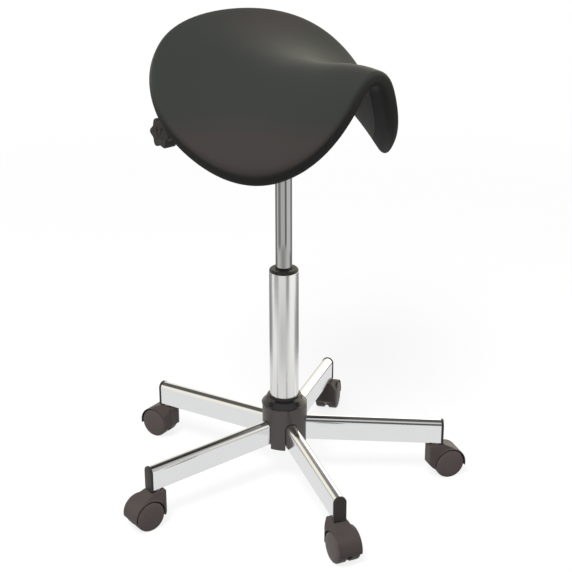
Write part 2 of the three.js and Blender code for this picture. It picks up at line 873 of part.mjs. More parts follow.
// The rounded edge: the outline's own points, moved out on a half circle.
function rimRing(angle) {
  const outline = ringAt(1, 0);
  const inside = ringAt(1 - 1 / seatSectors, 0);
  return outline.map((point, i) => {
    const [t, s] = sheetPlace(((i + 1 / 2) * 2 * Math.PI) / seatSectors, 1);
    const normal = sheetNormal(t, s);
    const before = outline[(i + seatSectors - 1) % seatSectors];
    const after = outline[(i + 1) % seatSectors];
    const outward = after.clone().sub(before).cross(normal).normalize();
    if (outward.dot(point.clone().sub(inside[i])) < 0) {
      outward.negate();
    }
    const half = seatThickness / 2;
    return point.clone()
      .addScaledVector(normal, half * Math.cos(angle))
      .addScaledVector(outward, half * Math.sin(angle));
  });
}

// A closed skin over rings of points, with a middle point at each end. Strips that run
// outward and strips that run inward are split alike, so that skins nest without touching.
function skinned(first, rings, last) {
  const points = [first, ...rings.flat(), last];
  const count = rings[0].length;
  const index = [];
  const at = (r, i) => 1 + r * count + (i % count);
  const reach = rings.map((places) => places[0].distanceTo(first));
  for (let i = 0; i < count; i += 1) {
    index.push(0, at(0, i), at(0, i + 1));
    index.push(points.length - 1, at(rings.length - 1, i + 1), at(rings.length - 1, i));
    for (let r = 0; r + 1 < rings.length; r += 1) {
      if (reach[r + 1] > reach[r]) {
        index.push(at(r, i), at(r + 1, i), at(r + 1, i + 1));
        index.push(at(r, i), at(r + 1, i + 1), at(r, i + 1));
      } else {
        index.push(at(r, i), at(r + 1, i), at(r, i + 1));
        index.push(at(r + 1, i), at(r + 1, i + 1), at(r, i + 1));
      }
    }
  }
  const geometry = new THREE.BufferGeometry();
  geometry.setAttribute('position', new THREE.Float32BufferAttribute(points.flatMap((p) => p.toArray()), 3));
  geometry.setIndex(index);
  return closedGeometry(geometry);
}

const middleAt = (offset) => middlePoint(widestShare, 0)
  .addScaledVector(sheetNormal(widestShare, 0), offset);

// The cushion wraps round the shell, which lies in a pocket in its underside.
function seatPadGeometry() {
  const half = seatThickness / 2;
  const pocketShare = shellShare + (4 * seatGap) / seatLength;
  const pocketRoof = shellThickness + seatGap - half;
  const top = padRingShares.map((share) => ringAt(share, half));
  const rim = [];
  for (let i = 0; i <= rimSteps; i += 1) {
    rim.push(rimRing((Math.PI * i) / rimSteps));
  }
  const lip = [ringAt(pocketShare, -half), ringAt(pocketShare, pocketRoof)];
  const roof = [...shellRingShares].reverse().map((share) => ringAt(share, pocketRoof));
  return skinned(middleAt(half), [...top, ...rim, ...lip, ...roof], middleAt(pocketRoof));
}

function seatShellGeometry() {
  const half = seatThickness / 2;
  const above = [...shellRingShares, shellShare].map((share) => ringAt(share, shellThickness - half));
  const below = [...shellRingShares, shellShare].reverse().map((share) => ringAt(share, -half));
  const shell = skinned(middleAt(shellThickness - half), [...above, ...below], middleAt(-half));
  const bosses = screwPlaces.map(([, x, y]) => {
    const t = (x - seatForward) / (seatLength / 2);
    const under = middlePoint(t, y).z - half + shellThickness / 2;
    const boss = rod(bossRadius, plateTop + seatGap, under);
    boss.translate(x, y, 0);
    return boss;
  });
  const holes = screwPlaces.map(([, x, y]) => {
    const hole = rod(screwRadius + seatGap, plateTop - overrun, plateTop + screwReach + seatGap);
    hole.translate(x, y, 0);
    return hole;
  });
  return cut(join(shell, ...bosses), ...holes);
}

function seatScrewGeometry(x, y) {
  const headTop = plateFoot - seatGap;
  const screw = turned([
    [0, headTop - screwHead],
    [screwHeadRadius - seatGap, headTop - screwHead],
    [screwHeadRadius, headTop],
    [screwRadius, headTop],
    [screwRadius, plateTop + screwReach],
    [0, plateTop + screwReach],
  ], smallFacets / 2 + 2);
  screw.translate(x, y, 0);
  return screw;
}

// Clamp: a cross bolt through the plate's ears and the bracket's slots, drawn up by the knob

function clampBoltGeometry() {
  const shank = barAcross(clampRadius, flangeOuter + seatGap + boltHead / 2, -knobReach - knobDepth / 2);
  const head = barAcross(boltHeadRadius, flangeOuter + seatGap, flangeOuter + seatGap + boltHead, hexSides);
  const bolt = join(shank, head);
  bolt.translate(-clampBack, 0, clampZ);
  return bolt;
}

function clampSleeveGeometry() {
  const from = flangeOuter + seatGap;
  const to = knobReach - knobNeck - seatGap;
  const tube = ring(clampRadius + seatGap, sleeveRadius, from, to, smallFacets);
  tube.rotateX(Math.PI / 2);
  tube.translate(-clampBack, 0, clampZ);
  return tube;
}

// The knob's outline swells into equal lobes.
function starKnobGeometry() {
  const points = [];
  for (let i = 0; i < knobLobes * lobeSteps; i += 1) {
    const turn = (2 * Math.PI * i) / (knobLobes * lobeSteps);
    const reach = knobRadius + knobLobe * Math.cos(knobLobes * turn);
    points.push(new THREE.Vector2(reach * Math.cos(turn), reach * Math.sin(turn)));
  }
  const star = across(new THREE.Shape(points), knobDepth, { bevel: knobEdge });
  star.translate(0, -knobReach - knobDepth / 2, 0);
  const neck = barAcross(knobNeckRadius, -knobReach + knobNeck, -knobReach - knobDepth / 2);
  const bore = barAcross(clampRadius + seatGap, 0, -knobReach - knobDepth / 2 - seatGap);
  const knob = cut(join(star, neck), bore);
  knob.translate(-clampBack, 0, clampZ);
  return knob;
}

// Release lever: a bent bar over the valve pin, with its fulcrum in the bracket's wall

function leverPath() {
  const places = [
    [leverPast, 0],
    [-leverStraight, 0],
    [-leverOut, -leverDrop],
    [-leverEnd, -leverDrop],
  ].map(([y, z]) => new THREE.Vector3(0, y, leverZ + z));
  const path = new THREE.CurvePath();
  let from = places[0];
  for (let i = 1; i + 1 < places.length; i += 1) {
    const corner = places[i];
    const before = corner.clone().add(from.clone().sub(corner).setLength(leverBend));
    const after = corner.clone().add(places[i + 1].clone().sub(corner).setLength(leverBend));
    path.add(new THREE.LineCurve3(from, before));
    path.add(new THREE.QuadraticBezierCurve3(before, corner, after));
    from = after;
  }
  path.add(new THREE.LineCurve3(from, places[places.length - 1]));
  return path;
}

function releaseLeverGeometry() {
  const section = new THREE.Shape();
  section.absarc(0, 0, leverRadius, 0, 2 * Math.PI, false);
  return closedGeometry(new THREE.ExtrudeGeometry(section, {
    steps: roundFacets,
    curveSegments: cornerSteps,
    extrudePath: leverPath(),
  }));
}

function leverGripGeometry() {
  const half = gripWidth / 2;
  const rise = gripThickness / 2;
  const outline = roundedShape([[-half, -rise], [half, -rise], [half, rise], [-half, rise]], rise);
  const from = leverOut + leverBend + seatGap;
  const to = leverEnd + 2 * gripEdge;
  const body = across(outline, to - from, { bevel: gripEdge });
  body.translate(0, -(from + to) / 2, 0);
  const bore = barAcross(leverRadius + seatGap, -leverEnd - seatGap, 0);
  const grip = cut(body, bore);
  grip.translate(0, 0, leverZ - leverDrop);
  return grip;
}

// Castors. Each is drawn on its stem's axis, trailing along +X, with its wheels along Y.

const hoodRadius = wheelRadius + hoodShade + hoodWall;

// The hood's middle from the side: an upright front, a flat top that slopes back to touch
// the barrel, and a keel that holds the axle.
function hoodSide() {
  const dx = hoodNeck - castorTrail;
  const dz = hoodTop - wheelRadius;
  const tangent = Math.atan2(dz, dx) - Math.acos(hoodRadius / Math.hypot(dx, dz));
  const keel = hoodKeelShare * wheelRadius;
  return new THREE.Shape([
    [-hoodFront, hoodSkirt],
    [-hoodFront, hoodTop - hoodWall],
    [hoodWall - hoodFront, hoodTop],
    [hoodNeck, hoodTop],
    [castorTrail + hoodRadius * Math.cos(tangent), wheelRadius + hoodRadius * Math.sin(tangent)],
    [castorTrail + keel, hoodKeel],
    [castorTrail - keel, hoodKeel],
  ].map(([x, z]) => new THREE.Vector2(x, z)));
}

// The hood from above: square at the back, with large round corners in front.
function hoodPlan() {
  const back = castorTrail + hoodRadius + overrun;
  const corner = hoodHalf - hoodCorner;
  const shape = new THREE.Shape();
  shape.moveTo(back, -hoodHalf);
  shape.lineTo(back, hoodHalf);
  shape.lineTo(hoodCorner - hoodFront, hoodHalf);
  shape.absarc(hoodCorner - hoodFront, corner, hoodCorner, Math.PI / 2, Math.PI, false);
  shape.absarc(hoodCorner - hoodFront, -corner, hoodCorner, Math.PI, (3 / 2) * Math.PI, false);
  shape.closePath();
  return shape;
}

// Above the barrel the hood's shoulders slope in, from full width up to the neck.
function hoodShoulders() {
  const lean = Math.atan2(hoodHalf - hoodNeck, hoodTop - hoodShoulder);
  return [-1, 1].map((side) => {
    const slope = new THREE.BoxGeometry(4 * hoodRadius, hoodHalf, 2 * hoodTop);
    slope.translate(castorTrail, hoodHalf / 2, 0);
    slope.rotateX(lean);
    slope.translate(0, hoodHalf, hoodShoulder);
    if (side < 0) {
      slope.scale(1, -1, 1);
    }
    return slope;
  });
}

function atAxle(geometry) {
  geometry.translate(castorTrail, 0, wheelRadius);
  return geometry;
}

function castorHoodGeometry() {
  const plan = toSolid(new THREE.ExtrudeGeometry(hoodPlan(), {
    depth: hoodTop + overrun,
    bevelEnabled: false,
    curveSegments: cornerSteps,
  }));
  const upright = cut(across(hoodSide(), 2 * hoodHalf + overrun), ...hoodShoulders());
  const below = box([4 * hoodRadius, 4 * hoodHalf, 2 * hoodTail], [castorTrail, 0, 0]);
  const barrel = cut(atAxle(barAcross(hoodRadius, -hoodHalf, hoodHalf, roundFacets)), below);
  const body = toSolid(upright).add(toSolid(barrel)).intersect(plan);
  const rooms = [-1, 1].flatMap((side) => [
    atAxle(barAcross(hoodRadius - hoodWall, side * hoodWeb, side * (hoodHalf + overrun), roundFacets)),
    box([4 * hoodRadius, hoodHalf, 2 * hoodTail], [castorTrail, side * (hoodWeb + hoodHalf / 2), 0]),
  ]);
  const axle = atAxle(barAcross(axleRadius, -axleReach, axleReach));
  const stemBore = rod(stemRadius + seatGap, hoodTop - stemDown - seatGap, hoodTop + overrun, stemFacets);
  return cut(join(cut(toGeometry(body), ...rooms), axle), stemBore);
}

// A wheel is a cup with a domed closed face, a hub and a blind bore. Its facets are flat below.
function castorWheelGeometry(side) {
  const rim = wheelRadius / Math.cos(Math.PI / wheelFacets);
  const inner = wheelInner;
  const outer = wheelInner + wheelWidth;
  const floor = outer - wheelWeb;
  const [crownRadiusShare, crownRiseShare] = wheelCrownShares;
  const wheel = turned([
    [0, axleReach + seatGap],
    [axleRadius + seatGap, axleReach + seatGap],
    [axleRadius + seatGap, inner],
    [rim - wheelRim, floor],
    [rim - wheelRim, inner],
    [rim, inner],
    [rim, outer],
    [rim * crownRadiusShare, outer + wheelDome * crownRiseShare],
    [0, outer + wheelDome],
  ], wheelFacets);
  wheel.rotateX(side * -Math.PI / 2);
  wheel.translate(castorTrail, 0, wheelRadius);
  return wheel;
}

// Assembly

const stool = new THREE.Group();

stool.add(
  piece('hub_socket', hubSocketGeometry(), darkSteel),
  piece('column_tube', columnTubeGeometry(), satinSteel),
  piece('guide_bush', guideBushGeometry(), blackPlastic),
  piece('bearing_lower_race', lowerRaceGeometry(), darkSteel),
  piece('bearing_ball_cage', ballCageGeometry(), darkSteel),
  piece('bearing_upper_race', upperRaceGeometry(), darkSteel),
  piece('piston_rod', pistonRodGeometry(), satinSteel),
  piece('bump_stop', bumpStopGeometry(), rubber),
  piece('rod_clip', rodClipGeometry(), darkSteel),
  piece('gas_cylinder', gasCylinderGeometry(), chrome),
  piece('valve_pin', valvePinGeometry(), satinSteel),
);

const hubCover = piece('hub_cover', hubCoverGeometry(), blackPlastic);
hubCover.rotation.z = radians(firstLegTurn);
stool.add(hubCover);

for (let i = 0; i < legCount; i += 1) {
  const leg = new THREE.Group();
  leg.rotation.z = radians(firstLegTurn + (360 / legCount) * i);
  const number = i + 1;
  leg.add(
    piece(`leg_${number}`, legGeometry(), chrome),
    piece(`end_cap_${number}`, endCapGeometry(), blackPlastic),
  );
  const castor = new THREE.Group();
  castor.position.x = stemCircle;
  castor.rotation.z = radians(castorTurns[i]);
  castor.add(
    piece(`castor_stem_${number}`, stemGeometry(), satinSteel),
    piece(`castor_hood_${number}`, castorHoodGeometry(), castorPlastic),
    piece(`castor_wheel_${number}_left`, castorWheelGeometry(1), castorPlastic),
    piece(`castor_wheel_${number}_right`, castorWheelGeometry(-1), castorPlastic),
  );
  leg.add(castor);
  stool.add(leg);
}

const head = new THREE.Group();
head.rotation.z = radians(seatTurn);
head.add(
  piece('tilt_bracket', tiltBracketGeometry(), darkSteel),
  piece('pivot_pin', pivotPinGeometry(), satinSteel),
  piece('pivot_clip', pivotClipGeometry(), darkSteel),
  piece('seat_plate', seatPlateGeometry(), darkSteel),
  piece('seat_shell', seatShellGeometry(), shellPlastic),
  piece('seat_pad', seatPadGeometry(), padSkin),
  ...screwPlaces.map(([name, x, y]) => piece(`seat_screw_${name}`, seatScrewGeometry(x, y), darkSteel)),
  piece('clamp_bolt', clampBoltGeometry(), satinSteel),
  piece('clamp_sleeve', clampSleeveGeometry(), blackPlastic),
  piece('star_knob', starKnobGeometry(), blackPlastic),
  piece('release_lever', releaseLeverGeometry(), darkSteel),
  piece('lever_grip', leverGripGeometry(), blackPlastic),
);
stool.add(head);

// The castors don't all trail the same way, so the middle of the box is off the column's axis.
const middle = new THREE.Box3().setFromObject(stool, true).getCenter(new THREE.Vector3());
stool.position.set(-middle.x, -middle.y, 0);

export default stool;
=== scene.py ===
import math

import bmesh
import bpy
import numpy as np
from mathutils import Matrix, Vector


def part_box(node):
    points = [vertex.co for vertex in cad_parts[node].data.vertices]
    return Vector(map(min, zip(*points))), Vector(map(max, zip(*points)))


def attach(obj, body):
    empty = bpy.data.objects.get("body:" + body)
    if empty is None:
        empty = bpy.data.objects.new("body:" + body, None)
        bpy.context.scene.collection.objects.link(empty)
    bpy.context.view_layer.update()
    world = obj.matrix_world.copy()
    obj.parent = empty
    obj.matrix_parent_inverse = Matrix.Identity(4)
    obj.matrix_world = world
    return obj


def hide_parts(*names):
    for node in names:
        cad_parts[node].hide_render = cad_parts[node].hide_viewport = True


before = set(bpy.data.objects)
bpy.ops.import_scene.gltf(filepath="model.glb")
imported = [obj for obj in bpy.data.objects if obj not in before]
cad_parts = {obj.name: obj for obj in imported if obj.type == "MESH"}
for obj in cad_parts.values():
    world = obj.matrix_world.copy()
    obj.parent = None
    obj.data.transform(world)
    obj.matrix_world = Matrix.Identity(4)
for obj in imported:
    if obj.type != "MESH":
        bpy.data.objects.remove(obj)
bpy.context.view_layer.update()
MM = 0.001

# The photographer's camera: a long lens 2.3 m away, a little above the seat, aimed at the
# gas lift. The column's axis is where the frame's column tube stands.
tube_low, tube_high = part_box("column_tube")
COLUMN = Vector(((tube_low.x + tube_high.x) / 2, (tube_low.y + tube_high.y) / 2, 0))
CAMERA_DISTANCE = 2320.4 * MM
CAMERA_RISE = math.radians(21.58)
CAMERA_ROLL = -0.0028
CAMERA_LENS = 86.64
SENSOR_WIDTH = 36
AIM_SIDE = 3.48 * MM
AIM_HEIGHT = 362.2 * MM

aim = COLUMN + Vector((AIM_SIDE, 0, AIM_HEIGHT))
toward_camera = Vector((0, -math.cos(CAMERA_RISE), math.sin(CAMERA_RISE)))
bpy.ops.object.camera_add(location=aim + CAMERA_DISTANCE * toward_camera)
camera = bpy.context.object
camera.name = "camera"
tip = Matrix.Rotation(math.pi / 2 - CAMERA_RISE, 3, "X")
camera.rotation_euler = (tip @ Matrix.Rotation(CAMERA_ROLL, 3, "Z")).to_euler()
camera.data.lens = CAMERA_LENS
camera.data.sensor_width = SENSOR_WIDTH
bpy.context.scene.camera = camera
bpy.context.scene.view_settings.view_transform = "Standard"


class Amount:
    """A number that varies over a surface: a node's output, which Python's signs work on."""

    def __init__(self, recipe, socket):
        self.recipe = recipe
        self.socket = socket

    def worked(self, operation, *others):
        places = {i: value for i, value in enumerate([self, *others])}
        return self.recipe.node("Math", {"operation": operation}, places)

    def __add__(self, other):
        return self.worked("ADD", other)

    def __sub__(self, other):
        return self.worked("SUBTRACT", other)

    def __mul__(self, other):
        return self.worked("MULTIPLY", other)

    def __rsub__(self, other):
        return self.recipe.node("Math", {"operation": "SUBTRACT"}, {0: other, 1: self})

    def __neg__(self):
        return self * -1

    __radd__ = __add__
    __rmul__ = __mul__


class Recipe:
    """A node tree. node() takes a type, its settings, and the values or links of its inputs."""

    def __init__(self, tree):
        self.tree = tree
        tree.nodes.clear()

    def node(self, kind, settings=None, inputs=None, out=0):
        made = self.tree.nodes.new("ShaderNode" + kind)
        for key, value in (settings or {}).items():
            setattr(made, key, value)
        for place, value in (inputs or {}).items():
            if isinstance(value, Amount):
                self.tree.links.new(value.socket, made.inputs[place])
            else:
                made.inputs[place].default_value = value
        return Amount(self, made.outputs[out]) if made.outputs else made

    def split(self, vector):
        node = self.node("SeparateXYZ", {}, {0: vector}).socket.node
        return [Amount(self, socket) for socket in node.outputs]

    def step(self, value, start, end, low=0, high=1):
        """Goes smoothly from low to high as value goes from start to end."""
        places = {0: value, 1: start, 2: end, 3: low, 4: high}
        return self.node("MapRange", {"interpolation_type": "SMOOTHSTEP"}, places)

    def band(self, value, centre, half, soft):
        """1 within half of the centre, and 0 once it is soft further away."""
        return self.step((value - centre).worked("ABSOLUTE"), half, half + soft, 1, 0)

    def mixed(self, factor, first, second):
        return self.node("Mix", {"data_type": "RGBA"}, {0: factor, 6: first, 7: second}, 2)


# The studio: a white sweep, a soft ring of light overhead, and dark flags that draw the
# stripes in the chrome. Polished metal sees the ring and the flags, and the camera sees white.
GROUND_SIZE = 40
NEAR_GROUND = 0.5
GROUND_SOFT = 0.1
RING_GROUND = (0.99, 1.05)
NEAR_GLOW = 0.8
RING_GLOW = 0.94
SWEEP_FADE = (1.1, 2.8)
RING_DIP = (-8, 5, 60, 0.46)
RING_SIDES = (-5, 82, 24, 0.7)
SHADE_GLOW = 0.1
FLAGS = [(-62, 13, 12, 0.62), (28, 9, 8, 0.74), (-18, 22, 14, 0.16)]
SIDE_FLAG = (97, 14, 0.66)
FAR_GLOW = 0.98
BACK_EDGE = (52, 20)
BACK_TOP = (28, 12)
BACK_STRIP = (126, 44, 20, 0.95)
UNDER_DARK = (-40, -26, 0.12)
WARM_BACK = (1, 0.95, 0.8, 1)
SOFTBOX = (53, 12, 5)
SOFTBOX_GLOW = 0.5
CEILING_GLOW = 0.1
SKY_HORIZON = 0.1
SKY_ZENITH = 0.62
KEY_POWER = 76
KEY_SIZE = 1.1
KEY_PLACE = (-0.6, -1.65, 2.8)

studio = bpy.data.worlds.new("studio")
bpy.context.scene.world = studio
studio.use_nodes = True
sky = Recipe(studio.node_tree)
x, y, z = sky.split(sky.node("TexCoord", out="Generated"))
turn = x.worked("ARCTAN2", -y)
rise = z.worked("ARCSINE")
walls = FAR_GLOW - (1 - sky.band(turn, 0, *[math.radians(value) for value in SIDE_FLAG[:2]])) * SIDE_FLAG[2]
for centre, half, soft, depth in FLAGS:
    walls = walls - sky.band(turn, math.radians(centre), math.radians(half), math.radians(soft)) * depth
dark_start, dark_end, dark_level = UNDER_DARK
walls = walls * sky.step(rise, math.radians(dark_start), math.radians(dark_end), dark_level, 1)
front = sky.step(turn.worked("COSINE"), -0.1, 0.5)
above = CEILING_GLOW + sky.band(rise, *[math.radians(value) for value in SOFTBOX]) * front * SOFTBOX_GLOW
over = sky.step(rise, 0, math.radians(5))
mirrored = walls * (1 - over) + above * over
behind = 1 - sky.band(turn, 0, *[math.radians(value) for value in BACK_EDGE])
behind = behind * sky.band(rise, math.radians(BACK_TOP[0] / 2), *[math.radians(value) for value in (BACK_TOP[0] / 2, BACK_TOP[1])])
strip_turn, strip_half, strip_soft, strip_glow = BACK_STRIP
strip = sky.band(turn, *[math.radians(value) for value in (strip_turn, strip_half, strip_soft)]) * strip_glow
mirrored = mirrored * (1 - behind) + (FAR_GLOW + strip) * behind
soft_sky = sky.step(rise, 0, 1.1, SKY_HORIZON, SKY_ZENITH)
path = sky.node("LightPath").socket.node
seen = Amount(sky, path.outputs["Is Camera Ray"])
glossy = Amount(sky, path.outputs["Is Glossy Ray"])
level = seen + (1 - seen) * (glossy * mirrored + (1 - glossy) * soft_sky)
tint = sky.mixed(glossy * (1 - seen) * behind, (1, 1, 1, 1), WARM_BACK)
shade = sky.node("Mix", {"data_type": "RGBA", "blend_type": "MULTIPLY"}, {0: 1.0, 6: tint, 7: level}, 2)
glow = sky.node("Background", {}, {"Color": shade, "Strength": 1})
sky.node("OutputWorld", {}, {"Surface": glow})

bpy.ops.object.select_all(action="DESELECT")
bpy.ops.mesh.primitive_plane_add(size=GROUND_SIZE, location=(0, 0, 0))
ground = bpy.context.object
ground.name = "ground"
sweep = bpy.data.materials.new("white_sweep")
sweep.use_nodes = True
paper = Recipe(sweep.node_tree)
path = paper.node("LightPath").socket.node
seen = Amount(paper, path.outputs["Is Camera Ray"])
glossy = Amount(paper, path.outputs["Is Glossy Ray"])
place = paper.node("TexCoord", out="Object")
away = paper.node("VectorMath", {"operation": "DISTANCE"}, {0: place, 1: COLUMN}, "Value")
ring = paper.step(away, NEAR_GROUND, NEAR_GROUND + GROUND_SOFT)
far = paper.step(away, *RING_GROUND)
across, along, _ = paper.split(place)
bearing = (across - COLUMN.x).worked("ARCTAN2", -(along - COLUMN.y))
dip = paper.band(bearing, *[math.radians(value) for value in RING_DIP[:3]]) * RING_DIP[3]
sides = (1 - paper.band(bearing, *[math.radians(value) for value in RING_SIDES[:3]])) * RING_SIDES[3]
ground_level = (1 - ring) * NEAR_GLOW + ring * RING_GLOW * (1 - dip) * (1 - sides)
white = paper.node("Emission", {}, {"Color": (1, 1, 1, 1), "Strength": 0.84})
shadow = paper.node("BsdfDiffuse", {}, {"Color": (0.2, 0.2, 0.2, 1)})
shown = paper.node("AddShader", {}, {0: white, 1: shadow})
near = paper.node("Emission", {}, {"Color": ground_level})
clear = paper.node("BsdfTransparent")
shown = paper.node("MixShader", {}, {0: paper.step(away, *SWEEP_FADE), 1: shown, 2: clear})
in_metal = paper.node("MixShader", {}, {0: far, 1: near, 2: clear})
dim = paper.node("Emission", {}, {"Strength": SHADE_GLOW})
others = paper.node("MixShader", {}, {0: glossy, 1: dim, 2: in_metal})
both = paper.node("MixShader", {}, {0: seen, 1: others, 2: shown})
paper.node("OutputMaterial", {}, {"Surface": both})
ground.data.materials.append(sweep)

bpy.ops.object.light_add(type="AREA", location=KEY_PLACE)
key = bpy.context.object
key.name = "key_light"
key.data.energy = KEY_POWER
key.data.size = KEY_SIZE
key.visible_glossy = False
key.rotation_euler = (Vector(KEY_PLACE) - aim).to_track_quat("Z", "Y").to_euler()


class Finish(Recipe):
    """A material's node tree, on Object coordinates."""

    def __init__(self, name):
        self.material = bpy.data.materials.new(name)
        self.material.use_nodes = True
        super().__init__(self.material.node_tree)
        self.place = self.node("TexCoord", out="Object")

    def noise(self, scale, detail=3, rough=0.5, stretch=(1, 1, 1)):
        where = self.node("Mapping", {}, {"Vector": self.place, "Scale": stretch})
        places = {"Vector": where, "Scale": scale, "Detail": detail, "Roughness": rough}
        return self.node("TexNoise", {}, places)

    def bump(self, height, distance, strength=1):
        places = {"Strength": strength, "Distance": distance, "Height": height}
        return self.node("Bump", {}, places)

    def surface(self, sockets):
        shader = self.node("BsdfPrincipled", {}, sockets)
        self.node("OutputMaterial", {}, {"Surface": shader})
        return self.material


def turned(name, profile, steps=96):
    """A wire drawn through points of (radius, height) and spun once round Z."""
    bpy.ops.object.select_all(action="DESELECT")
    bpy.ops.mesh.primitive_plane_add(size=MM)
    piece = bpy.context.object
    piece.name = name
    bpy.ops.object.mode_set(mode="EDIT")
    bpy.ops.mesh.merge(type="CENTER")
    before = Vector((0, 0, 0))
    for i, (radius, height) in enumerate(profile):
        step = Vector((radius, 0, height)) - before
        if i == 0:
            bpy.ops.transform.translate(value=step)
        else:
            bpy.ops.mesh.extrude_vertices_move(TRANSFORM_OT_translate={"value": step})
        before = Vector((radius, 0, height))
    bpy.ops.mesh.select_all(action="SELECT")
    bpy.ops.mesh.spin(steps=steps, angle=2 * math.pi, center=(0, 0, 0), axis=(0, 0, 1))
    bpy.ops.mesh.select_all(action="SELECT")
    bpy.ops.mesh.remove_doubles(threshold=MM / 1000)
    bpy.ops.mesh.normals_make_consistent(inside=False)
    bpy.ops.object.mode_set(mode="OBJECT")
    return piece


def rounded(points, steps=5):
    """A closed outline of (a, b) or (a, b, corner radius) points, with its corners as arcs."""
    made = []
    for i, point in enumerate(points):
        corner = Vector(point[:2])
        radius = point[2] if len(point) > 2 else 0
        into = Vector(points[i - 1][:2]) - corner
        out = Vector(points[(i + 1) % len(points)][:2]) - corner
        if radius == 0 or into.length == 0 or out.length == 0:
            made.append(tuple(corner))
            continue
        half = into.angle(out) / 2
        reach = min(radius / math.tan(half), into.length / 2, out.length / 2)
        start = corner + into.normalized() * reach
        end = corner + out.normalized() * reach
        for k in range(steps + 1):
            t = k / steps
            made.append(tuple(start.lerp(corner, t).lerp(corner.lerp(end, t), t)))
    return made


def closed(profile):
    """A profile that comes back to where it starts, for a ring."""
    made = rounded(profile)
    return [*made, made[0]]


def finished(piece, look, smooth=35):
    """Smooth shading up to an angle, and its material."""
    bpy.ops.object.select_all(action="DESELECT")
    piece.select_set(True)
    bpy.context.view_layer.objects.active = piece
    bpy.ops.object.shade_smooth_by_angle(angle=math.radians(smooth))
    piece.data.materials.clear()
    piece.data.materials.append(look)
    return piece


def placed(piece, body, slot, *nodes):
    """Its place is in its mesh: it rides on a body and stands for these CAD nodes."""
    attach(piece, body)
    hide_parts(*nodes)


def dressed(node, look):
    """A CAD node that keeps its own shape takes a finish."""
    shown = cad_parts[node]
    for slot in shown.material_slots:
        slot.material = look


def modified(piece, kind, **settings):
    """Adds one modifier and applies it."""
    bpy.ops.object.select_all(action="DESELECT")
    piece.select_set(True)
    bpy.context.view_layer.objects.active = piece
    bpy.ops.object.modifier_add(type=kind)
    modifier = piece.modifiers[-1]
    for key, value in settings.items():
        setattr(modifier, key, value)
    bpy.ops.object.modifier_apply(modifier=modifier.name)
    return piece


def carved(piece, tool, operation="DIFFERENCE"):
    """Cuts, joins or crosses a piece with a tool, which is then thrown away."""
    modified(piece, "BOOLEAN", operation=operation, object=tool, solver="EXACT")
    bpy.data.objects.remove(tool)
    return piece


def outlined(name, points):
    """A flat face with this outline: a filled circle whose corners are moved."""
    bpy.ops.object.select_all(action="DESELECT")
    bpy.ops.mesh.primitive_circle_add(vertices=len(points), radius=MM, fill_type="NGON")
    piece = bpy.context.object
    piece.name = name
    for vertex, point in zip(piece.data.vertices, points):
        vertex.co = point
    return piece


def extruded(name, points, way):
    """An outline drawn out along a way into a closed bar."""
    piece = outlined(name, points)
    bpy.ops.object.mode_set(mode="EDIT")
    bpy.ops.mesh.select_all(action="SELECT")
    bpy.ops.mesh.extrude_region_move(TRANSFORM_OT_translate={"value": way})
    bpy.ops.mesh.select_all(action="SELECT")
    bpy.ops.mesh.normals_make_consistent(inside=False)
    bpy.ops.object.mode_set(mode="OBJECT")
    return piece


def copied(piece, name, matrix):
    """Another of the same, with its own mesh, set in its place."""
    other = piece.copy()
    other.data = piece.data.copy()
    other.name = name
    bpy.context.scene.collection.objects.link(other)
    other.data.transform(matrix)
    return other


def discarded(piece):
    bpy.data.objects.remove(piece)


# Legs: round-topped chromed steel tube, flat at the sides, falling a little to the tip.
# Each starts inside the hub cover; its cope to the hub and the welded sleeve for its castor's stem are not modelled.
LEG_COUNT = 5
FIRST_LEG_TURN = math.radians(-71.6)
LEG_WIDTH = 20 * MM
LEG_HEIGHT = 42 * MM
LEG_WALL = 1.5 * MM
LEG_CORNER = 1.6 * MM
LEG_START = 28.5 * MM
LEG_TIP = 275 * MM
LEG_FALL = math.tan(math.radians(2.7))
LEG_TIP_UNDER = 66.09 * MM
CROWN_STEPS = 28


def leg_under(radius):
    return LEG_TIP_UNDER + (LEG_TIP - radius) * LEG_FALL


def arc(centre, radius, start, end, steps):
    turns = [math.radians(start + (end - start) * i / steps) for i in range(steps + 1)]
    return [(centre[0] + radius * math.cos(t), centre[1] + radius * math.sin(t)) for t in turns]


def leg_outline(grow, radius):
    """The tube's outline in Y and Z, at a radius from the column."""
    half = LEG_WIDTH / 2 + grow
    inset = half - LEG_CORNER
    foot = LEG_CORNER - grow
    flat = [
        *arc((inset, foot), LEG_CORNER, -90, 0, 4),
        *arc((0, LEG_HEIGHT - LEG_WIDTH / 2), half, 0, 180, CROWN_STEPS),
        *arc((-inset, foot), LEG_CORNER, 180, 270, 4),
    ]
    return [(radius, a, b + leg_under(radius)) for a, b in flat]


chrome = Finish("leg_chrome")
rolled = chrome.noise(22, 2)
wiped = chrome.noise(14, 4, 0.6)
leg_chrome = chrome.surface({
    "Base Color": chrome.mixed(wiped, (0.86, 0.865, 0.875, 1), (0.93, 0.93, 0.935, 1)),
    "Metallic": 1.0,
    "Roughness": wiped * 0.06 + 0.09,
    "Normal": chrome.bump(rolled, 0.04 * MM, 0.2),
})


def leg_place(i):
    return Matrix.Translation(COLUMN) @ Matrix.Rotation(FIRST_LEG_TURN + 2 * math.pi * i / LEG_COUNT, 4, "Z")


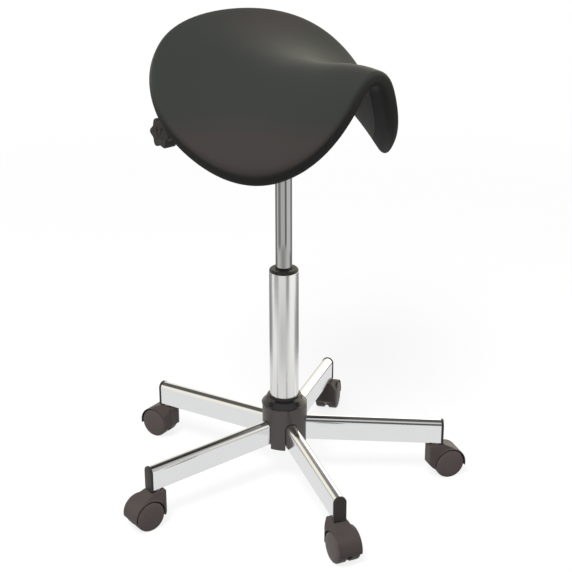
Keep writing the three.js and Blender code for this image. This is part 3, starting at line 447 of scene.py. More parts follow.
way = (LEG_TIP - LEG_START, 0, leg_under(LEG_TIP) - leg_under(LEG_START))
leg = extruded("leg", leg_outline(0, LEG_START), way)
bpy.ops.object.mode_set(mode="EDIT")
bpy.ops.mesh.select_all(action="DESELECT")
mesh = bmesh.from_edit_mesh(leg.data)
for face in mesh.faces:
    face.select_set(abs(face.normal.x) > 0.9)
bmesh.update_edit_mesh(leg.data)
bpy.ops.mesh.delete(type="ONLY_FACE")
bpy.ops.object.mode_set(mode="OBJECT")
modified(leg, "SOLIDIFY", thickness=LEG_WALL, offset=-1, use_even_offset=True)
finished(leg, leg_chrome, 30)
for i in range(LEG_COUNT):
    placed(copied(leg, f"chrome_leg_{i + 1}", leg_place(i)), "base", "leg_chrome", f"leg_{i + 1}")
discarded(leg)

# End caps: moulded black plastic, pushed into the tube's end, with a lip that covers its rim.
CAP_GAP = 0.3 * MM
CAP_FACE = 4 * MM
CAP_LIP = 1 * MM
CAP_EDGE = 0.9 * MM
CAP_PLUG = 8 * MM
cap_plastic = Finish("cap_plastic")
grain = cap_plastic.noise(1400, 2)
cap_black = cap_plastic.surface({
    "Base Color": cap_plastic.mixed(cap_plastic.noise(60), (0.034, 0.031, 0.03, 1), (0.05, 0.046, 0.044, 1)),
    "Roughness": cap_plastic.noise(40) * 0.12 + 0.34,
    "Specular IOR Level": 0.28,
    "Normal": cap_plastic.bump(grain, 0.02 * MM, 0.3),
})
cap_start = LEG_TIP + CAP_GAP
way = (CAP_FACE, 0, leg_under(cap_start + CAP_FACE) - leg_under(cap_start))
cap = extruded("cap", leg_outline(CAP_LIP, cap_start), way)
modified(cap, "BEVEL", width=CAP_EDGE, segments=4, limit_method="ANGLE", angle_limit=math.radians(50))
plug_start = LEG_TIP - CAP_PLUG
way = (CAP_PLUG + CAP_FACE / 2, 0, leg_under(LEG_TIP + CAP_FACE / 2) - leg_under(plug_start))
plug = extruded("plug", leg_outline(-LEG_WALL - CAP_GAP, plug_start), way)
carved(cap, plug, "UNION")
finished(cap, cap_black, 40)
for i in range(LEG_COUNT):
    placed(copied(cap, f"black_end_cap_{i + 1}", leg_place(i)), "base", "black_plastic", f"end_cap_{i + 1}")
discarded(cap)

# Hub: a turned steel socket, welded to the legs, under a moulded cover. The cover has one
# flat-bellied panel between each two legs and a stepped, glossy collar round the column.
COVER_RADIUS = 39.5 * MM
PANEL_DIP = 1.2 * MM
COVER_WALL = 2.4 * MM
COVER_ROOM = 0.8 * MM
TUBE_RADIUS = 25 * MM
COVER_SPIN = 180
COVER_DROP = 4.5 * MM
COLLAR_HEIGHT = 16 * MM
cover_low, cover_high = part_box("hub_cover")
socket_steel = Finish("socket_steel")
weld_grime = socket_steel.noise(70, 4, 0.6)
frame_black = socket_steel.surface({
    "Base Color": socket_steel.mixed(weld_grime, (0.03, 0.03, 0.032, 1), (0.06, 0.06, 0.062, 1)),
    "Metallic": 0.0,
    "Roughness": weld_grime * 0.2 + 0.38,
    "Normal": socket_steel.bump(socket_steel.noise(1800, 2), 0.04 * MM, 0.5),
})
dressed("hub_socket", frame_black)

foot = cover_low.z - COVER_DROP
top = cover_high.z
shoulder = top - COLLAR_HEIGHT
moulded = Finish("cover_plastic")
smudge = moulded.noise(30, 3)
collar = moulded.step(moulded.split(moulded.place)[2], shoulder - 2 * MM, shoulder)
panel_colour = moulded.mixed(smudge, (0.082, 0.071, 0.066, 1), (0.1, 0.088, 0.083, 1))
cover_black = moulded.surface({
    "Base Color": moulded.mixed(collar, panel_colour, (0.016, 0.014, 0.014, 1)),
    "Roughness": smudge * 0.08 + 0.34 - collar * 0.26,
    "Normal": moulded.bump(moulded.noise(1100, 2), 0.02 * MM, 0.3),
})
throat = TUBE_RADIUS + CAP_GAP
cover = turned("hub_cover_piece", closed([
    (COVER_RADIUS - COVER_WALL, foot),
    (COVER_RADIUS, foot, 0.6 * MM),
    (COVER_RADIUS, shoulder + 0.5 * MM, 2 * MM),
    (COVER_RADIUS - 1.6 * MM, shoulder + 2.6 * MM, 1.2 * MM),
    (COVER_RADIUS - 4.5 * MM, shoulder + 5.8 * MM, 2.4 * MM),
    (31.6 * MM, shoulder + 9.2 * MM, 1.6 * MM),
    (29.6 * MM, top - 1.2 * MM, 2.2 * MM),
    (throat, top, 1.2 * MM),
    (throat, shoulder - COVER_WALL),
    (COVER_RADIUS - COVER_WALL, shoulder - COVER_WALL),
]), COVER_SPIN)
for vertex in cover.data.vertices:
    if vertex.co.z < shoulder:
        flat = math.hypot(vertex.co.x, vertex.co.y)
        round_turn = math.atan2(vertex.co.y, vertex.co.x)
        dip = PANEL_DIP * math.sin(LEG_COUNT * round_turn / 2) ** 2
        if flat > TUBE_RADIUS + COVER_WALL:
            vertex.co.x *= (flat - dip) / flat
            vertex.co.y *= (flat - dip) / flat
for i in range(LEG_COUNT):
    spread = [(a, b, c - (LEG_HEIGHT if c < leg_under(a) + LEG_HEIGHT / 2 else 0))
              for a, b, c in leg_outline(COVER_ROOM, LEG_START)]
    room = extruded("room", spread, (COVER_RADIUS, 0, -COVER_RADIUS * LEG_FALL))
    room.data.transform(Matrix.Rotation(2 * math.pi * i / LEG_COUNT, 4, "Z"))
    carved(cover, room)
cover.data.transform(leg_place(0))
finished(cover, cover_black, 40)
placed(cover, "base", "black_plastic", "hub_cover")

# Column: one satin-ground steel tube, tapered at its foot to wedge in the socket, with a
# black nylon bush in its mouth that guides the gas spring.
COLUMN_TAPER = 1 * MM
COLUMN_WALL = 2 * MM
COLUMN_EDGE = 0.5 * MM
BUSH_FLANGE = 4.5 * MM
CYLINDER_RADIUS = 14 * MM
satin = Finish("column_satin")
ground_lines = satin.noise(300, 3, stretch=(1, 1, 0.02))
cloud = satin.noise(9, 3)
column_satin = satin.surface({
    "Base Color": satin.mixed(cloud, (0.85, 0.845, 0.835, 1), (0.89, 0.885, 0.875, 1)),
    "Metallic": 1.0,
    "Roughness": ground_lines * 0.06 + 0.2,
    "Normal": satin.bump(ground_lines, 0.006 * MM, 0.15),
})
column_foot = tube_low.z
column_top = tube_high.z
socket_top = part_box("hub_socket")[1].z
column = turned("satin_column", closed([
    (CYLINDER_RADIUS / 2, column_foot),
    (TUBE_RADIUS - COLUMN_TAPER, column_foot, COLUMN_EDGE),
    (TUBE_RADIUS, socket_top),
    (TUBE_RADIUS, column_top, COLUMN_EDGE),
    (TUBE_RADIUS - COLUMN_WALL, column_top, COLUMN_EDGE),
    (TUBE_RADIUS - COLUMN_WALL, socket_top),
    (TUBE_RADIUS - COLUMN_TAPER - COLUMN_WALL, column_foot + COLUMN_WALL * 2),
    (CYLINDER_RADIUS / 2, column_foot + COLUMN_WALL * 2),
]), 128)
column.data.transform(Matrix.Translation(COLUMN))
finished(column, column_satin)
placed(column, "base", "column_satin", "column_tube")

bush_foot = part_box("guide_bush")[0].z
bore = CYLINDER_RADIUS + CAP_GAP
bush = turned("guide_bush_piece", closed([
    (bore, bush_foot),
    (TUBE_RADIUS - COLUMN_WALL - CAP_GAP, bush_foot, COLUMN_EDGE),
    (TUBE_RADIUS - COLUMN_WALL - CAP_GAP, column_top + CAP_GAP),
    (TUBE_RADIUS - CAP_GAP, column_top + CAP_GAP, COLUMN_EDGE),
    (TUBE_RADIUS - CAP_GAP, column_top + BUSH_FLANGE / 2, 1.2 * MM),
    (TUBE_RADIUS - BUSH_FLANGE / 2, column_top + BUSH_FLANGE, 1.2 * MM),
    (bore, column_top + BUSH_FLANGE, 0.8 * MM),
]), 96)
bush.data.transform(Matrix.Translation(COLUMN))
finished(bush, cap_black)
placed(bush, "base", "black_plastic", "guide_bush")

# Inside the column: the piston rod on its thrust bearing, the rubber bump stop and the clip
# under the floor. They show only in a section, and keep their turned CAD shapes.
worked_steel = Finish("turned_steel")
tool_marks = worked_steel.noise(800, 2, stretch=(1, 1, 6))
pin_steel = worked_steel.surface({
    "Base Color": worked_steel.mixed(worked_steel.noise(50), (0.6, 0.6, 0.61, 1), (0.72, 0.72, 0.73, 1)),
    "Metallic": 1.0,
    "Roughness": tool_marks * 0.15 + 0.2,
    "Normal": worked_steel.bump(tool_marks, 0.01 * MM, 0.3),
})
bump_rubber = Finish("bump_rubber")
rubber = bump_rubber.surface({
    "Base Color": bump_rubber.mixed(bump_rubber.noise(200), (0.02, 0.02, 0.02, 1), (0.035, 0.034, 0.033, 1)),
    "Roughness": bump_rubber.noise(300) * 0.1 + 0.8,
    "Normal": bump_rubber.bump(bump_rubber.noise(1200), 0.05 * MM, 0.5),
})
for node in ("bearing_lower_race", "bearing_ball_cage", "bearing_upper_race", "piston_rod", "rod_clip", "valve_pin"):
    dressed(node, pin_steel)
dressed("bump_stop", rubber)

# Gas spring: a hard-chromed cylinder that slides in the bush, its top tapered to wedge into
# the tilt bracket's socket.
CONE_LENGTH = 53 * MM
CONE_TAPER = 1.3 * MM
PLATE_RISE = 76.5 * MM
hard = Finish("cylinder_chrome")
drawn = hard.noise(260, 3, stretch=(1, 1, 0.01))
cylinder_chrome = hard.surface({
    "Base Color": hard.mixed(hard.noise(12), (0.42, 0.422, 0.42, 1), (0.47, 0.468, 0.462, 1)),
    "Metallic": 1.0,
    "Roughness": drawn * 0.03 + 0.05,
    "Normal": hard.bump(drawn, 0.008 * MM, 0.3),
})
cylinder_low, cylinder_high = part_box("gas_cylinder")
plate_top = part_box("seat_plate")[1].z
bracket_foot = plate_top - PLATE_RISE
cylinder = turned("chrome_cylinder", [
    (0, cylinder_low.z),
    *rounded([
        (0, cylinder_low.z),
        (CYLINDER_RADIUS, cylinder_low.z, 1.5 * MM),
        (CYLINDER_RADIUS, bracket_foot - 2 * MM, 2 * MM),
        (CYLINDER_RADIUS - CONE_TAPER, cylinder_high.z, 0.8 * MM),
        (0, cylinder_high.z),
    ])[1:-1],
    (0, cylinder_high.z),
], 96)
cylinder.data.transform(Matrix.Translation(COLUMN))
finished(cylinder, cylinder_chrome)
placed(cylinder, "lift", "cylinder_chrome", "gas_cylinder")


# Tilt bracket and seat plate: black-coated pressed steel. Their folds are CAD's,
# with the sheet's cut edges broken. The pivot pin, its clip and the clamp bolt keep their CAD shapes in turned
# steel.
SHEET_EDGE = 0.5 * MM


def edge_broken(node, body, look, slot, edge=SHEET_EDGE):
    """A merged copy of a CAD node with its sharp edges bevelled."""
    piece = bpy.data.objects.new(node + "_piece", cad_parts[node].data.copy())
    bpy.context.scene.collection.objects.link(piece)
    bpy.ops.object.select_all(action="DESELECT")
    piece.select_set(True)
    bpy.context.view_layer.objects.active = piece
    bpy.ops.object.mode_set(mode="EDIT")
    bpy.ops.mesh.select_all(action="SELECT")
    bpy.ops.mesh.remove_doubles(threshold=MM / 100)
    bpy.ops.mesh.dissolve_limited(angle_limit=math.radians(1))
    bpy.ops.object.mode_set(mode="OBJECT")
    modified(piece, "BEVEL", width=edge, segments=2, limit_method="ANGLE", angle_limit=math.radians(45))
    finished(piece, look, 40)
    placed(piece, body, slot, node)


coat = Finish("powder_coat")
orange_peel = coat.noise(1500, 3, 0.6)
powder = coat.surface({
    "Base Color": coat.mixed(coat.noise(40), (0.03, 0.03, 0.032, 1), (0.045, 0.045, 0.048, 1)),
    "Roughness": orange_peel * 0.2 + 0.4,
    "Normal": coat.bump(orange_peel, 0.05 * MM, 0.5),
})
edge_broken("tilt_bracket", "lift", powder, "frame_steel")
edge_broken("seat_plate", "seat", powder, "frame_steel")
for node in ("pivot_pin", "pivot_clip", "clamp_bolt"):
    dressed(node, pin_steel)

# Saddle: a soft integral-skin cushion on a moulded shell, one bent sheet with a fully
# rounded rim. The seat's own frame has X forward and Y to the sitter's left.
SEAT_TURN = math.radians(-47)
SPINE_RISE = 104 * MM
SEAT_LENGTH = 339 * MM
SEAT_FORWARD = 20.5 * MM
SEAT_WIDTH = 439 * MM
SEAT_THICKNESS = 27.2 * MM
CANTLE_RISE = 54.8 * MM
CANTLE_ROLL = 2.8 * MM
POMMEL_RISE = 27.2 * MM
NOSE_FALL = 14.4 * MM
VALLEY_SHARE = -0.015
WIDEST_SHARE = -0.078
NOSE_SHARE = 0.567
CANTLE_SHARE = -0.6
REAR_ROUNDNESS = 2.46
FRONT_ROUNDNESS = 2.59
BEND_ANGLES = [1.5, 36.9, 54.3, 62.5]
BEND_ANGLE_SHARES = [-1, 0, 0.5, 1]
BEND_RUNS = [219 * MM, 111 * MM, 47.5 * MM]
BEND_RUN_SHARES = [-1, 0, 1]
BEND_STEPS = 48
SHELL_THICKNESS = 8 * MM
SHELL_SHARE = 0.9
POCKET_SHARE = 0.904
SEAT_GRID = 28
RIM_STEPS = 16
RIM_SQUARE = 0.46
RIM_UNDER = 0.74
RIM_LEAN = 24 * MM
TOP_REACH = 0.93
LIP_HOLD = 0.006
LIP_DEPTH = 0.8 * MM
# Partly painted shade on the seat: spans where the darker green valley tone gives way to lighter brown.
VALLEY_SHADE_TO_BROWN_ABOVE = (12 * MM, 48 * MM)
VALLEY_SHADE_TO_BROWN_BELOW = (38 * MM, 95 * MM)
VALLEY_SHADE_TO_BROWN_ACROSS = (-150 * MM, -20 * MM)
# Painted shade on the seat: the span of normal height over which faces that look down go from near-black to the
# skin's colour.
DOWN_FACING_SHADE_FROM = (-0.3, 0.12)
SEAT_GAP = 0.3 * MM
spine_z = bracket_foot + SPINE_RISE
seat_place = Matrix.Translation(COLUMN) @ Matrix.Rotation(SEAT_TURN, 4, "Z")


def through_stations(stations, values, t):
    """The smooth curve through a value at each station along the spine."""
    total = 0
    for i, value in enumerate(values):
        term = value
        for k, station in enumerate(stations):
            if k != i:
                term = term * (t - station) / (stations[i] - station)
        total = total + term
    return total


def sheet_point(t, s):
    """Points of the sheet's middle, t along the spine and s round the bend."""
    bend = np.radians(through_stations(BEND_ANGLE_SHARES, BEND_ANGLES, t))
    run = through_stations(BEND_RUN_SHARES, BEND_RUNS, t)
    step = np.abs(s) / BEND_STEPS
    side = 0
    drop = 0
    for i in range(BEND_STEPS):
        slope = bend * np.sin(np.pi / 2 * np.minimum(1, (i + 0.5) * step / run))
        side = side + np.cos(slope) * step
        drop = drop + np.sin(slope) * step
    back = np.maximum(0, (VALLEY_SHARE - t) / (1 + VALLEY_SHARE))
    front = np.maximum(0, (t - VALLEY_SHARE) / (1 - VALLEY_SHARE))
    nose = np.maximum(0, (t - NOSE_SHARE) / (1 - NOSE_SHARE))
    roll = np.maximum(0, (CANTLE_SHARE - t) / (1 + CANTLE_SHARE))
    height = spine_z + CANTLE_RISE * back**2 + POMMEL_RISE * front**2
    height = height - NOSE_FALL * nose**2 - CANTLE_ROLL * roll**2
    return np.stack([SEAT_FORWARD + SEAT_LENGTH / 2 * t, np.sign(s) * side, height - drop], -1)


def half_width(t):
    rear = np.clip((WIDEST_SHARE - t) / (1 + WIDEST_SHARE), 0, 1)
    front = np.clip((t - WIDEST_SHARE) / (1 - WIDEST_SHARE), 0, 1)
    return SEAT_WIDTH / 2 * np.sqrt(1 - rear**REAR_ROUNDNESS) * np.sqrt(1 - front**FRONT_ROUNDNESS)


def sheet_normal(t, s):
    nudge = 1e-3
    along = sheet_point(t + nudge, s) - sheet_point(t - nudge, s)
    reach = nudge * SEAT_LENGTH
    over = sheet_point(t, s + reach) - sheet_point(t, s - reach)
    normal = np.cross(along, over)
    return normal / np.linalg.norm(normal, axis=-1, keepdims=True)


def sheet_place(turns, share):
    t = -np.cos(turns)
    s = np.sign(np.sin(turns)) * half_width(t)
    return WIDEST_SHARE + share * (t - WIDEST_SHARE), share * s


def disc_place(a, b):
    """The turn and share of a point of a square grid, wrapped onto the seat's outline."""
    wide = np.abs(a) > np.abs(b)
    share = np.where(wide, a, b)
    safe = np.where(share == 0, 1, share)
    turns = np.where(wide, np.pi / 4 * b / safe, np.pi / 2 - np.pi / 4 * a / safe)
    return np.where(share < 0, turns + np.pi, turns) + 1e-6, np.abs(share)


def sheet_grid(offset, reach=1.0):
    """The places of a square grid's corners, laid over the sheet out to a share of its edge."""
    lines = np.linspace(-1, 1, SEAT_GRID + 1)
    a, b = np.meshgrid(lines, lines)
    turns, share = disc_place(a.ravel(), b.ravel())
    t, s = sheet_place(turns, share * reach)
    return sheet_point(t, s) + sheet_normal(t, s) * offset


def rim_places(angle):
    """The edge: the outline's points moved round a squarish section, which leans where the flap hangs."""
    border = border_turns
    t, s = sheet_place(border, 1.0)
    outline = sheet_point(t, s)
    normal = sheet_normal(t, s)
    ahead = np.roll(outline, -1, 0) - np.roll(outline, 1, 0)
    outward = np.cross(ahead, normal)
    outward /= np.linalg.norm(outward, axis=-1, keepdims=True)
    inner = sheet_point(*sheet_place(border, 0.97))
    outward *= np.sign(np.sum(outward * (outline - inner), -1, keepdims=True))
    half = SEAT_THICKNESS / 2
    square = RIM_SQUARE if angle < math.pi / 2 else RIM_UNDER
    up = math.copysign(abs(math.cos(angle))**square, math.cos(angle))
    lean = RIM_LEAN * outward[:, 2:] ** 2 * (outward[:, 2:] < 0) * ((1 + up) / 2) ** 2
    return outline + normal * half * up + outward * (half * math.sin(angle)**square - lean)


def border_of(size):
    """Indices of a square grid's border, once round."""
    first = [i for i in range(size)]
    second = [i * (size + 1) + size for i in range(size)]
    third = [size * (size + 1) + size - i for i in range(size)]
    fourth = [(size - i) * (size + 1) for i in range(size)]
    return first + second + third + fourth


border = border_of(SEAT_GRID)
lines = np.linspace(-1, 1, SEAT_GRID + 1)
grid_a, grid_b = np.meshgrid(lines, lines)
border_turns = disc_place(grid_a.ravel()[border], grid_b.ravel()[border])[0]


def sheet_mesh(name, levels):
    """A closed skin: a grid, then rings out and round, then a grid that closes it."""
    mesh = bmesh.new()
    size = SEAT_GRID
    first = [mesh.verts.new(p) for p in levels[0]]
    last = [mesh.verts.new(p) for p in levels[-1]]
    rings = [[mesh.verts.new(p) for p in ring] for ring in levels[1:-1]]
    for row in range(size):
        for col in range(size):
            corner = [row * (size + 1) + col, row * (size + 1) + col + 1]
            far = [c + size + 1 for c in corner]
            order = [corner[0], corner[1], far[1], far[0]]
            mesh.faces.new([first[i] for i in order])
            mesh.faces.new([last[i] for i in reversed(order)])
    loops = [[first[i] for i in border], *rings, [last[i] for i in border]]
    count = len(border)
    for here, there in zip(loops, loops[1:]):
        for i in range(count):
            k = (i + 1) % count
            mesh.faces.new([here[k], here[i], there[i], there[k]])
    bmesh.ops.recalc_face_normals(mesh, faces=mesh.faces)
    made = bpy.data.meshes.new(name)
    mesh.to_mesh(made)
    mesh.free()
    piece = bpy.data.objects.new(name, made)
    bpy.context.scene.collection.objects.link(piece)
    return piece


def lip_ring(share, depth):
    """A ring on the underside, near the pocket's lip, that keeps the lip crisp."""
    t, s = sheet_place(border_turns, share)
    return sheet_point(t, s) - sheet_normal(t, s) * (SEAT_THICKNESS / 2 - depth)


half = SEAT_THICKNESS / 2
roof = SHELL_THICKNESS + SEAT_GAP - half
levels = [sheet_grid(half, TOP_REACH)]
levels += [rim_places(math.pi * i / RIM_STEPS) for i in range(1, RIM_STEPS + 1)]
levels += [lip_ring(POCKET_SHARE + LIP_HOLD, 0), lip_ring(POCKET_SHARE, 0)]
levels += [lip_ring(POCKET_SHARE, LIP_DEPTH), sheet_grid(roof, POCKET_SHARE)]
pad = sheet_mesh("saddle_cushion", levels)
modified(pad, "SUBSURF", levels=1, render_levels=1)
pad.data.transform(seat_place)
# Each point's normal height, for the painted shade on faces that look down.
facing = pad.data.attributes.new("facing_up", "FLOAT", "POINT")
for vertex, mark in zip(pad.data.vertices, facing.data):
    mark.value = vertex.normal.z

skin = Finish("seat_skin")
pores = skin.node("TexVoronoi", {"feature": "DISTANCE_TO_EDGE"}, {"Vector": skin.place, "Scale": 900.0})
fine = skin.noise(1600, 3, 0.6)
handled = skin.noise(7, 4, 0.55)
across, _, height = skin.split(skin.place)
# Partly painted shade: near the valley the skin is painted a darker green-black for the shade that lies there. Above
# it, within a span across, and low on the flaps, it turns a lighter brown, which is partly the skin's own tint.
from_valley = height - spine_z
brown_tint_and_valley_shade = skin.step(from_valley, *VALLEY_SHADE_TO_BROWN_ABOVE) * skin.step(across, *VALLEY_SHADE_TO_BROWN_ACROSS)
brown_tint_and_valley_shade = (brown_tint_and_valley_shade + skin.step(-from_valley, *VALLEY_SHADE_TO_BROWN_BELOW)) * 0.75 + handled * 0.25
facing_up = skin.node("Attribute", {"attribute_name": "facing_up"}, out="Fac")
# Painted shade: the rim and underside face down and are painted near-black, standing in for the shade they lie in.
painted_down_facing_shade = skin.step(facing_up, *DOWN_FACING_SHADE_FROM)
top_colour = skin.mixed(brown_tint_and_valley_shade, (0.034, 0.038, 0.0345, 1), (0.05, 0.042, 0.04, 1))
hide = pores * 0.6 + fine * 0.4
seat_skin = skin.surface({
    "Base Color": skin.mixed(painted_down_facing_shade, (0.02, 0.0185, 0.018, 1), top_colour),
    "Roughness": handled * 0.08 + fine * 0.06 + 0.46,
    "Specular IOR Level": 0.19,
    "Normal": skin.bump(hide, 0.1 * MM, 0.35),
})
finished(pad, seat_skin, 180)
placed(pad, "seat", "seat_skin", "seat_pad")

# The shell under the cushion: moulded plastic with four bosses for the plate's screws.
BOSS_RADIUS = 7 * MM
SCREW_RADIUS = 3 * MM
SCREW_PLACES = [(44 * MM, 24 * MM), (44 * MM, -24 * MM), (-50 * MM, 24 * MM), (-50 * MM, -24 * MM)]
edge_t, edge_s = sheet_place(border_turns, SHELL_SHARE)
edge = sheet_point(edge_t, edge_s)
edge_normal = sheet_normal(edge_t, edge_s)
levels = [sheet_grid(SHELL_THICKNESS - half, SHELL_SHARE)]
levels += [edge + edge_normal * (SHELL_THICKNESS / 2 - half) * 1.0]
levels += [sheet_grid(-half, SHELL_SHARE)]
shell = sheet_mesh("seat_shell_piece", levels)
for forward, side in SCREW_PLACES:
    t = (forward - SEAT_FORWARD) / (SEAT_LENGTH / 2)
    under = float(sheet_point(np.array([t]), np.array([side]))[0][2]) - half + SHELL_THICKNESS / 2
    boss = turned("boss", [(0, plate_top + SEAT_GAP), (BOSS_RADIUS, plate_top + SEAT_GAP), (BOSS_RADIUS, under), (0, under)], 32)
    boss.data.transform(Matrix.Translation((forward, side, 0)))
    carved(shell, boss, "UNION")
shell.data.transform(seat_place)
moulding = Finish("shell_plastic")
shell_black = moulding.surface({
    "Base Color": moulding.mixed(moulding.noise(25), (0.07, 0.064, 0.062, 1), (0.092, 0.084, 0.081, 1)),
    "Roughness": moulding.noise(90) * 0.15 + 0.5,
    "Normal": moulding.bump(moulding.noise(1300, 2), 0.06 * MM, 0.5),
})
finished(shell, shell_black, 40)
placed(shell, "seat", "shell_plastic", "seat_shell")
for name in ("front_left", "front_right", "rear_left", "rear_right"):
    dressed("seat_screw_" + name, pin_steel)

# Clamp: a bolt through the plate's ears, a distance sleeve, and a moulded six-lobed knob at
# the sitter's right.
CLAMP_BACK = 85 * MM
CLAMP_RISE = 11 * MM
CLAMP_RADIUS = 4 * MM
KNOB_REACH = 164 * MM
KNOB_DEPTH = 23 * MM
KNOB_RADIUS = 22.5 * MM
KNOB_LOBE = 2.6 * MM
KNOB_LOBES = 6
LOBE_STEPS = 14
KNOB_EDGE = 3 * MM
KNOB_NECK = 7 * MM
NECK_RADIUS = 12 * MM
DISH_INSET = 7 * MM
DISH_DEPTH = 1.6 * MM
clamp_z = bracket_foot + CLAMP_RISE
count = KNOB_LOBES * LOBE_STEPS
outline = []
for i in range(count):
    angle = 2 * math.pi * i / count
    reach = KNOB_RADIUS + KNOB_LOBE * math.cos(KNOB_LOBES * angle)
    outline.append((reach * math.cos(angle), -KNOB_REACH, reach * math.sin(angle)))
knob = extruded("star_knob_piece", outline, (0, -KNOB_DEPTH, 0))
modified(knob, "BEVEL", width=KNOB_EDGE, segments=5, limit_method="ANGLE", angle_limit=math.radians(50))
bpy.ops.object.mode_set(mode="EDIT")
bpy.ops.mesh.select_all(action="DESELECT")
mesh = bmesh.from_edit_mesh(knob.data)
faces = [face for face in mesh.faces if face.normal.y < -0.99]
max(faces, key=lambda face: face.calc_area()).select_set(True)
bmesh.update_edit_mesh(knob.data)
bpy.ops.mesh.inset(thickness=DISH_INSET, depth=-DISH_DEPTH)
bpy.ops.object.mode_set(mode="OBJECT")
neck = turned("neck", [(0, 0), (NECK_RADIUS, 0), (NECK_RADIUS, KNOB_NECK + KNOB_DEPTH / 2), (0, KNOB_NECK + KNOB_DEPTH / 2)], 48)
neck.data.transform(Matrix.Translation((0, KNOB_NECK - KNOB_REACH, 0)) @ Matrix.Rotation(math.pi / 2, 4, "X"))
carved(knob, neck, "UNION")
knob.data.transform(seat_place @ Matrix.Translation((-CLAMP_BACK, 0, clamp_z)))
finished(knob, cap_black, 35)
placed(knob, "knob", "black_plastic", "star_knob")
dressed("clamp_sleeve", cap_black)

# Release lever: a bent steel bar with a pressed-on grip, tucked under the right flap.
dressed("release_lever", powder)
edge_broken("lever_grip", "lever", cap_black, "black_plastic", 0.6 * MM)

# Castors: a plated stem in each leg's sleeve, and a moulded hood over two domed wheels that
# turn on its axle.
STEM_CIRCLE = 266 * MM
CASTOR_TURNS = [6, 18, 5, 1, 1]
WHEEL_RADIUS = 26.5 * MM
WHEEL_INNER = 4.6 * MM
WHEEL_WIDTH = 15 * MM
WHEEL_DOME = 2.8 * MM
WHEEL_WALL = 3.2 * MM
WHEEL_EDGE = 4.2 * MM
AXLE_RADIUS = 3 * MM
AXLE_REACH = 17 * MM
TRAIL = 22 * MM
HOOD_TOP = 63.5 * MM
HOOD_HALF = 20.6 * MM
HOOD_WALL = 1.6 * MM
HOOD_SHADE = 1.2 * MM
HOOD_WEB = 4 * MM
HOOD_FRONT = 14 * MM
HOOD_CORNER = 13 * MM
HOOD_NECK = 13 * MM
HOOD_SHOULDER = 46 * MM
HOOD_SKIRT = 26 * MM
HOOD_TAIL = 21 * MM
HOOD_KEEL = 9 * MM
KEEL_HALF = 15.9 * MM
HOOD_RADIUS = WHEEL_RADIUS + HOOD_SHADE + HOOD_WALL
HOOD_VOXEL = 0.6 * MM
STEM_RADIUS = 5.5 * MM
STEM_DOWN = 14 * MM
COLLAR_RADIUS = 8.8 * MM
COLLAR = 2 * MM
OVER = 2 * MM


def castor_place(i):
    swivel = Matrix.Translation((STEM_CIRCLE, 0, 0)) @ Matrix.Rotation(math.radians(CASTOR_TURNS[i]), 4, "Z")
    return leg_place(i) @ swivel




def castor_brown(name, shade):
    """The castors' brown-black nylon, a little lighter on the wheels than on the hood; the hood's darker copy is
    partly painted shade, for the shade under the legs.
    """
    nylon = Finish(name)
    mottle = nylon.noise(45, 4, 0.6)
    return nylon.surface({
        "Base Color": nylon.mixed(mottle, (0.1 * shade, 0.079 * shade, 0.075 * shade, 1),
                                  (0.128 * shade, 0.103 * shade, 0.097 * shade, 1)),
        "Roughness": mottle * 0.12 + 0.36,
        "Specular IOR Level": 0.28,
        "Normal": nylon.bump(nylon.noise(1500, 2), 0.03 * MM, 0.4),
    })


stem_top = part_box("castor_stem_1")[1].z
stem = turned("stem", [(0, HOOD_TOP - STEM_DOWN), *rounded([
    (0, HOOD_TOP - STEM_DOWN),
    (STEM_RADIUS, HOOD_TOP - STEM_DOWN, 0.8 * MM),
    (STEM_RADIUS, HOOD_TOP + SEAT_GAP),
    (COLLAR_RADIUS, HOOD_TOP + SEAT_GAP, 0.4 * MM),
    (COLLAR_RADIUS, HOOD_TOP + SEAT_GAP + COLLAR, 0.4 * MM),
    (STEM_RADIUS, HOOD_TOP + SEAT_GAP + COLLAR),
    (STEM_RADIUS, stem_top, 0.8 * MM),
    (0, stem_top),
])[1:-1], (0, stem_top)], 48)
finished(stem, pin_steel)


def barrel(name, radius, start, end):
    """A bar along Y at the axle."""
    bpy.ops.object.select_all(action="DESELECT")
    bpy.ops.mesh.primitive_cylinder_add(
        vertices=96, radius=radius, depth=abs(end - start),
        location=(TRAIL, (start + end) / 2, WHEEL_RADIUS), rotation=(math.pi / 2, 0, 0),
    )
    bar = bpy.context.object
    bar.name = name
    bpy.ops.object.transform_apply(location=True, rotation=True, scale=True)
    return bar


def block(name, low, high):
    bpy.ops.object.select_all(action="DESELECT")
    middle = (Vector(low) + Vector(high)) / 2
    bpy.ops.mesh.primitive_cube_add(size=1, location=middle, scale=Vector(high) - Vector(low))
    made = bpy.context.object
    made.name = name
    bpy.ops.object.transform_apply(location=True, rotation=True, scale=True)
    return made


# The hood's middle from the side: upright in front, a flat top that slopes back to touch the
# barrel, and a keel that holds the axle.
rise_x = HOOD_NECK - TRAIL
rise_z = HOOD_TOP - WHEEL_RADIUS
tangent = math.atan2(rise_z, rise_x) - math.acos(HOOD_RADIUS / math.hypot(rise_x, rise_z))
side = [
    (-HOOD_FRONT, HOOD_SKIRT),
    (-HOOD_FRONT, HOOD_TOP - HOOD_WALL),
    (HOOD_WALL - HOOD_FRONT, HOOD_TOP),
    (HOOD_NECK, HOOD_TOP),
    (TRAIL + HOOD_RADIUS * math.cos(tangent), WHEEL_RADIUS + HOOD_RADIUS * math.sin(tangent)),
    (TRAIL + KEEL_HALF, HOOD_KEEL),
    (TRAIL - KEEL_HALF, HOOD_KEEL),
]
hood = extruded("hood", [(a, -HOOD_HALF - OVER, b) for a, b in side], (0, 2 * HOOD_HALF + 2 * OVER, 0))
lean = math.atan2(HOOD_HALF - HOOD_NECK, HOOD_TOP - HOOD_SHOULDER)
bpy.ops.object.mode_set(mode="EDIT")
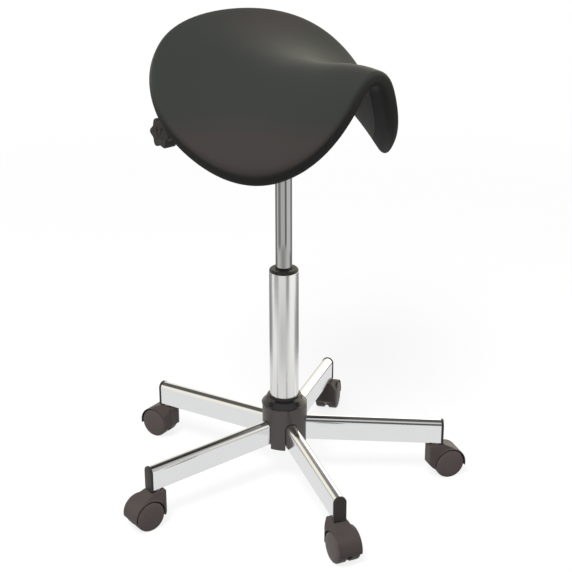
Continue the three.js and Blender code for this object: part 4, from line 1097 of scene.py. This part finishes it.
for way in (1, -1):
    bpy.ops.mesh.select_all(action="SELECT")
    bpy.ops.mesh.bisect(
        plane_co=(TRAIL, way * HOOD_HALF, HOOD_SHOULDER),
        plane_no=(0, way * math.cos(lean), math.sin(lean)),
        use_fill=True, clear_outer=True,
    )
bpy.ops.object.mode_set(mode="OBJECT")
drum = barrel("drum", HOOD_RADIUS, -HOOD_HALF, HOOD_HALF)
carved(drum, block("under", (-1, -1, -1), (1, 1, HOOD_TAIL)))
carved(hood, drum, "UNION")
back = TRAIL + HOOD_RADIUS + OVER
plan = [(back, -HOOD_HALF), (back, HOOD_HALF)]
plan += arc((HOOD_CORNER - HOOD_FRONT, HOOD_HALF - HOOD_CORNER), HOOD_CORNER, 90, 180, 16)
plan += arc((HOOD_CORNER - HOOD_FRONT, HOOD_CORNER - HOOD_HALF), HOOD_CORNER, 180, 270, 16)
carved(hood, extruded("plan", [(a, b, 0) for a, b in plan], (0, 0, HOOD_TOP + OVER)), "INTERSECT")
for way in (1, -1):
    carved(hood, barrel("room", HOOD_RADIUS - HOOD_WALL, way * HOOD_WEB, way * (HOOD_HALF + OVER)))
    low, high = sorted((way * HOOD_WEB, way * (HOOD_HALF + OVER)))
    carved(hood, block("below", (-1, low, -1), (1, high, HOOD_TAIL)))
carved(hood, barrel("axle", AXLE_RADIUS, -AXLE_REACH, AXLE_REACH), "UNION")
bore_profile = [(0, HOOD_TOP - STEM_DOWN - SEAT_GAP), (STEM_RADIUS + SEAT_GAP, HOOD_TOP - STEM_DOWN - SEAT_GAP),
                (STEM_RADIUS + SEAT_GAP, HOOD_TOP + OVER), (0, HOOD_TOP + OVER)]
carved(hood, turned("stem_bore", bore_profile, 48))
modified(hood, "REMESH", mode="VOXEL", voxel_size=HOOD_VOXEL)
modified(hood, "SMOOTH", factor=0.5, iterations=4)
modified(hood, "DECIMATE", ratio=0.4)
# The hood's copy is painted darker than the wheels', partly as painted shade.
finished(hood, castor_brown("castor_hood_nylon", 0.72), 60)

face = WHEEL_INNER + WHEEL_WIDTH
web = face - 3 * MM
wheel = turned("wheel", [(0, AXLE_REACH + SEAT_GAP), *rounded([
    (0, AXLE_REACH + SEAT_GAP),
    (AXLE_RADIUS + SEAT_GAP, AXLE_REACH + SEAT_GAP),
    (AXLE_RADIUS + SEAT_GAP, WHEEL_INNER),
    (AXLE_RADIUS + WHEEL_WALL, WHEEL_INNER, 0.5 * MM),
    (AXLE_RADIUS + WHEEL_WALL, web, 1 * MM),
    (WHEEL_RADIUS - WHEEL_WALL, web, 1 * MM),
    (WHEEL_RADIUS - WHEEL_WALL, WHEEL_INNER, 0.6 * MM),
    (WHEEL_RADIUS, WHEEL_INNER, 0.9 * MM),
    (WHEEL_RADIUS, face, WHEEL_EDGE),
    (WHEEL_RADIUS * 2 / 3, face + WHEEL_DOME * 0.6, 6 * MM),
    (0, face + WHEEL_DOME),
])[1:-1], (0, face + WHEEL_DOME)], 96)
finished(wheel, castor_brown("castor_wheel_nylon", 1.1), 40)
for i in range(LEG_COUNT):
    number = i + 1
    body = f"castor_{number}"
    placed(copied(stem, f"castor_stem_{number}_piece", castor_place(i)), body, "pin_steel", f"castor_stem_{number}")
    placed(copied(hood, f"castor_hood_{number}_piece", castor_place(i)), body, "castor_plastic", f"castor_hood_{number}")
    for name, way in (("left", -1), ("right", 1)):
        spin = Matrix.Translation((TRAIL, 0, WHEEL_RADIUS)) @ Matrix.Rotation(way * math.pi / 2, 4, "X")
        piece = copied(wheel, f"wheel_{number}_{name}_piece", castor_place(i) @ spin)
        placed(piece, f"wheel_{number}_{name}", "castor_plastic", f"castor_wheel_{number}_{name}")
for piece in (stem, hood, wheel):
    discarded(piece)
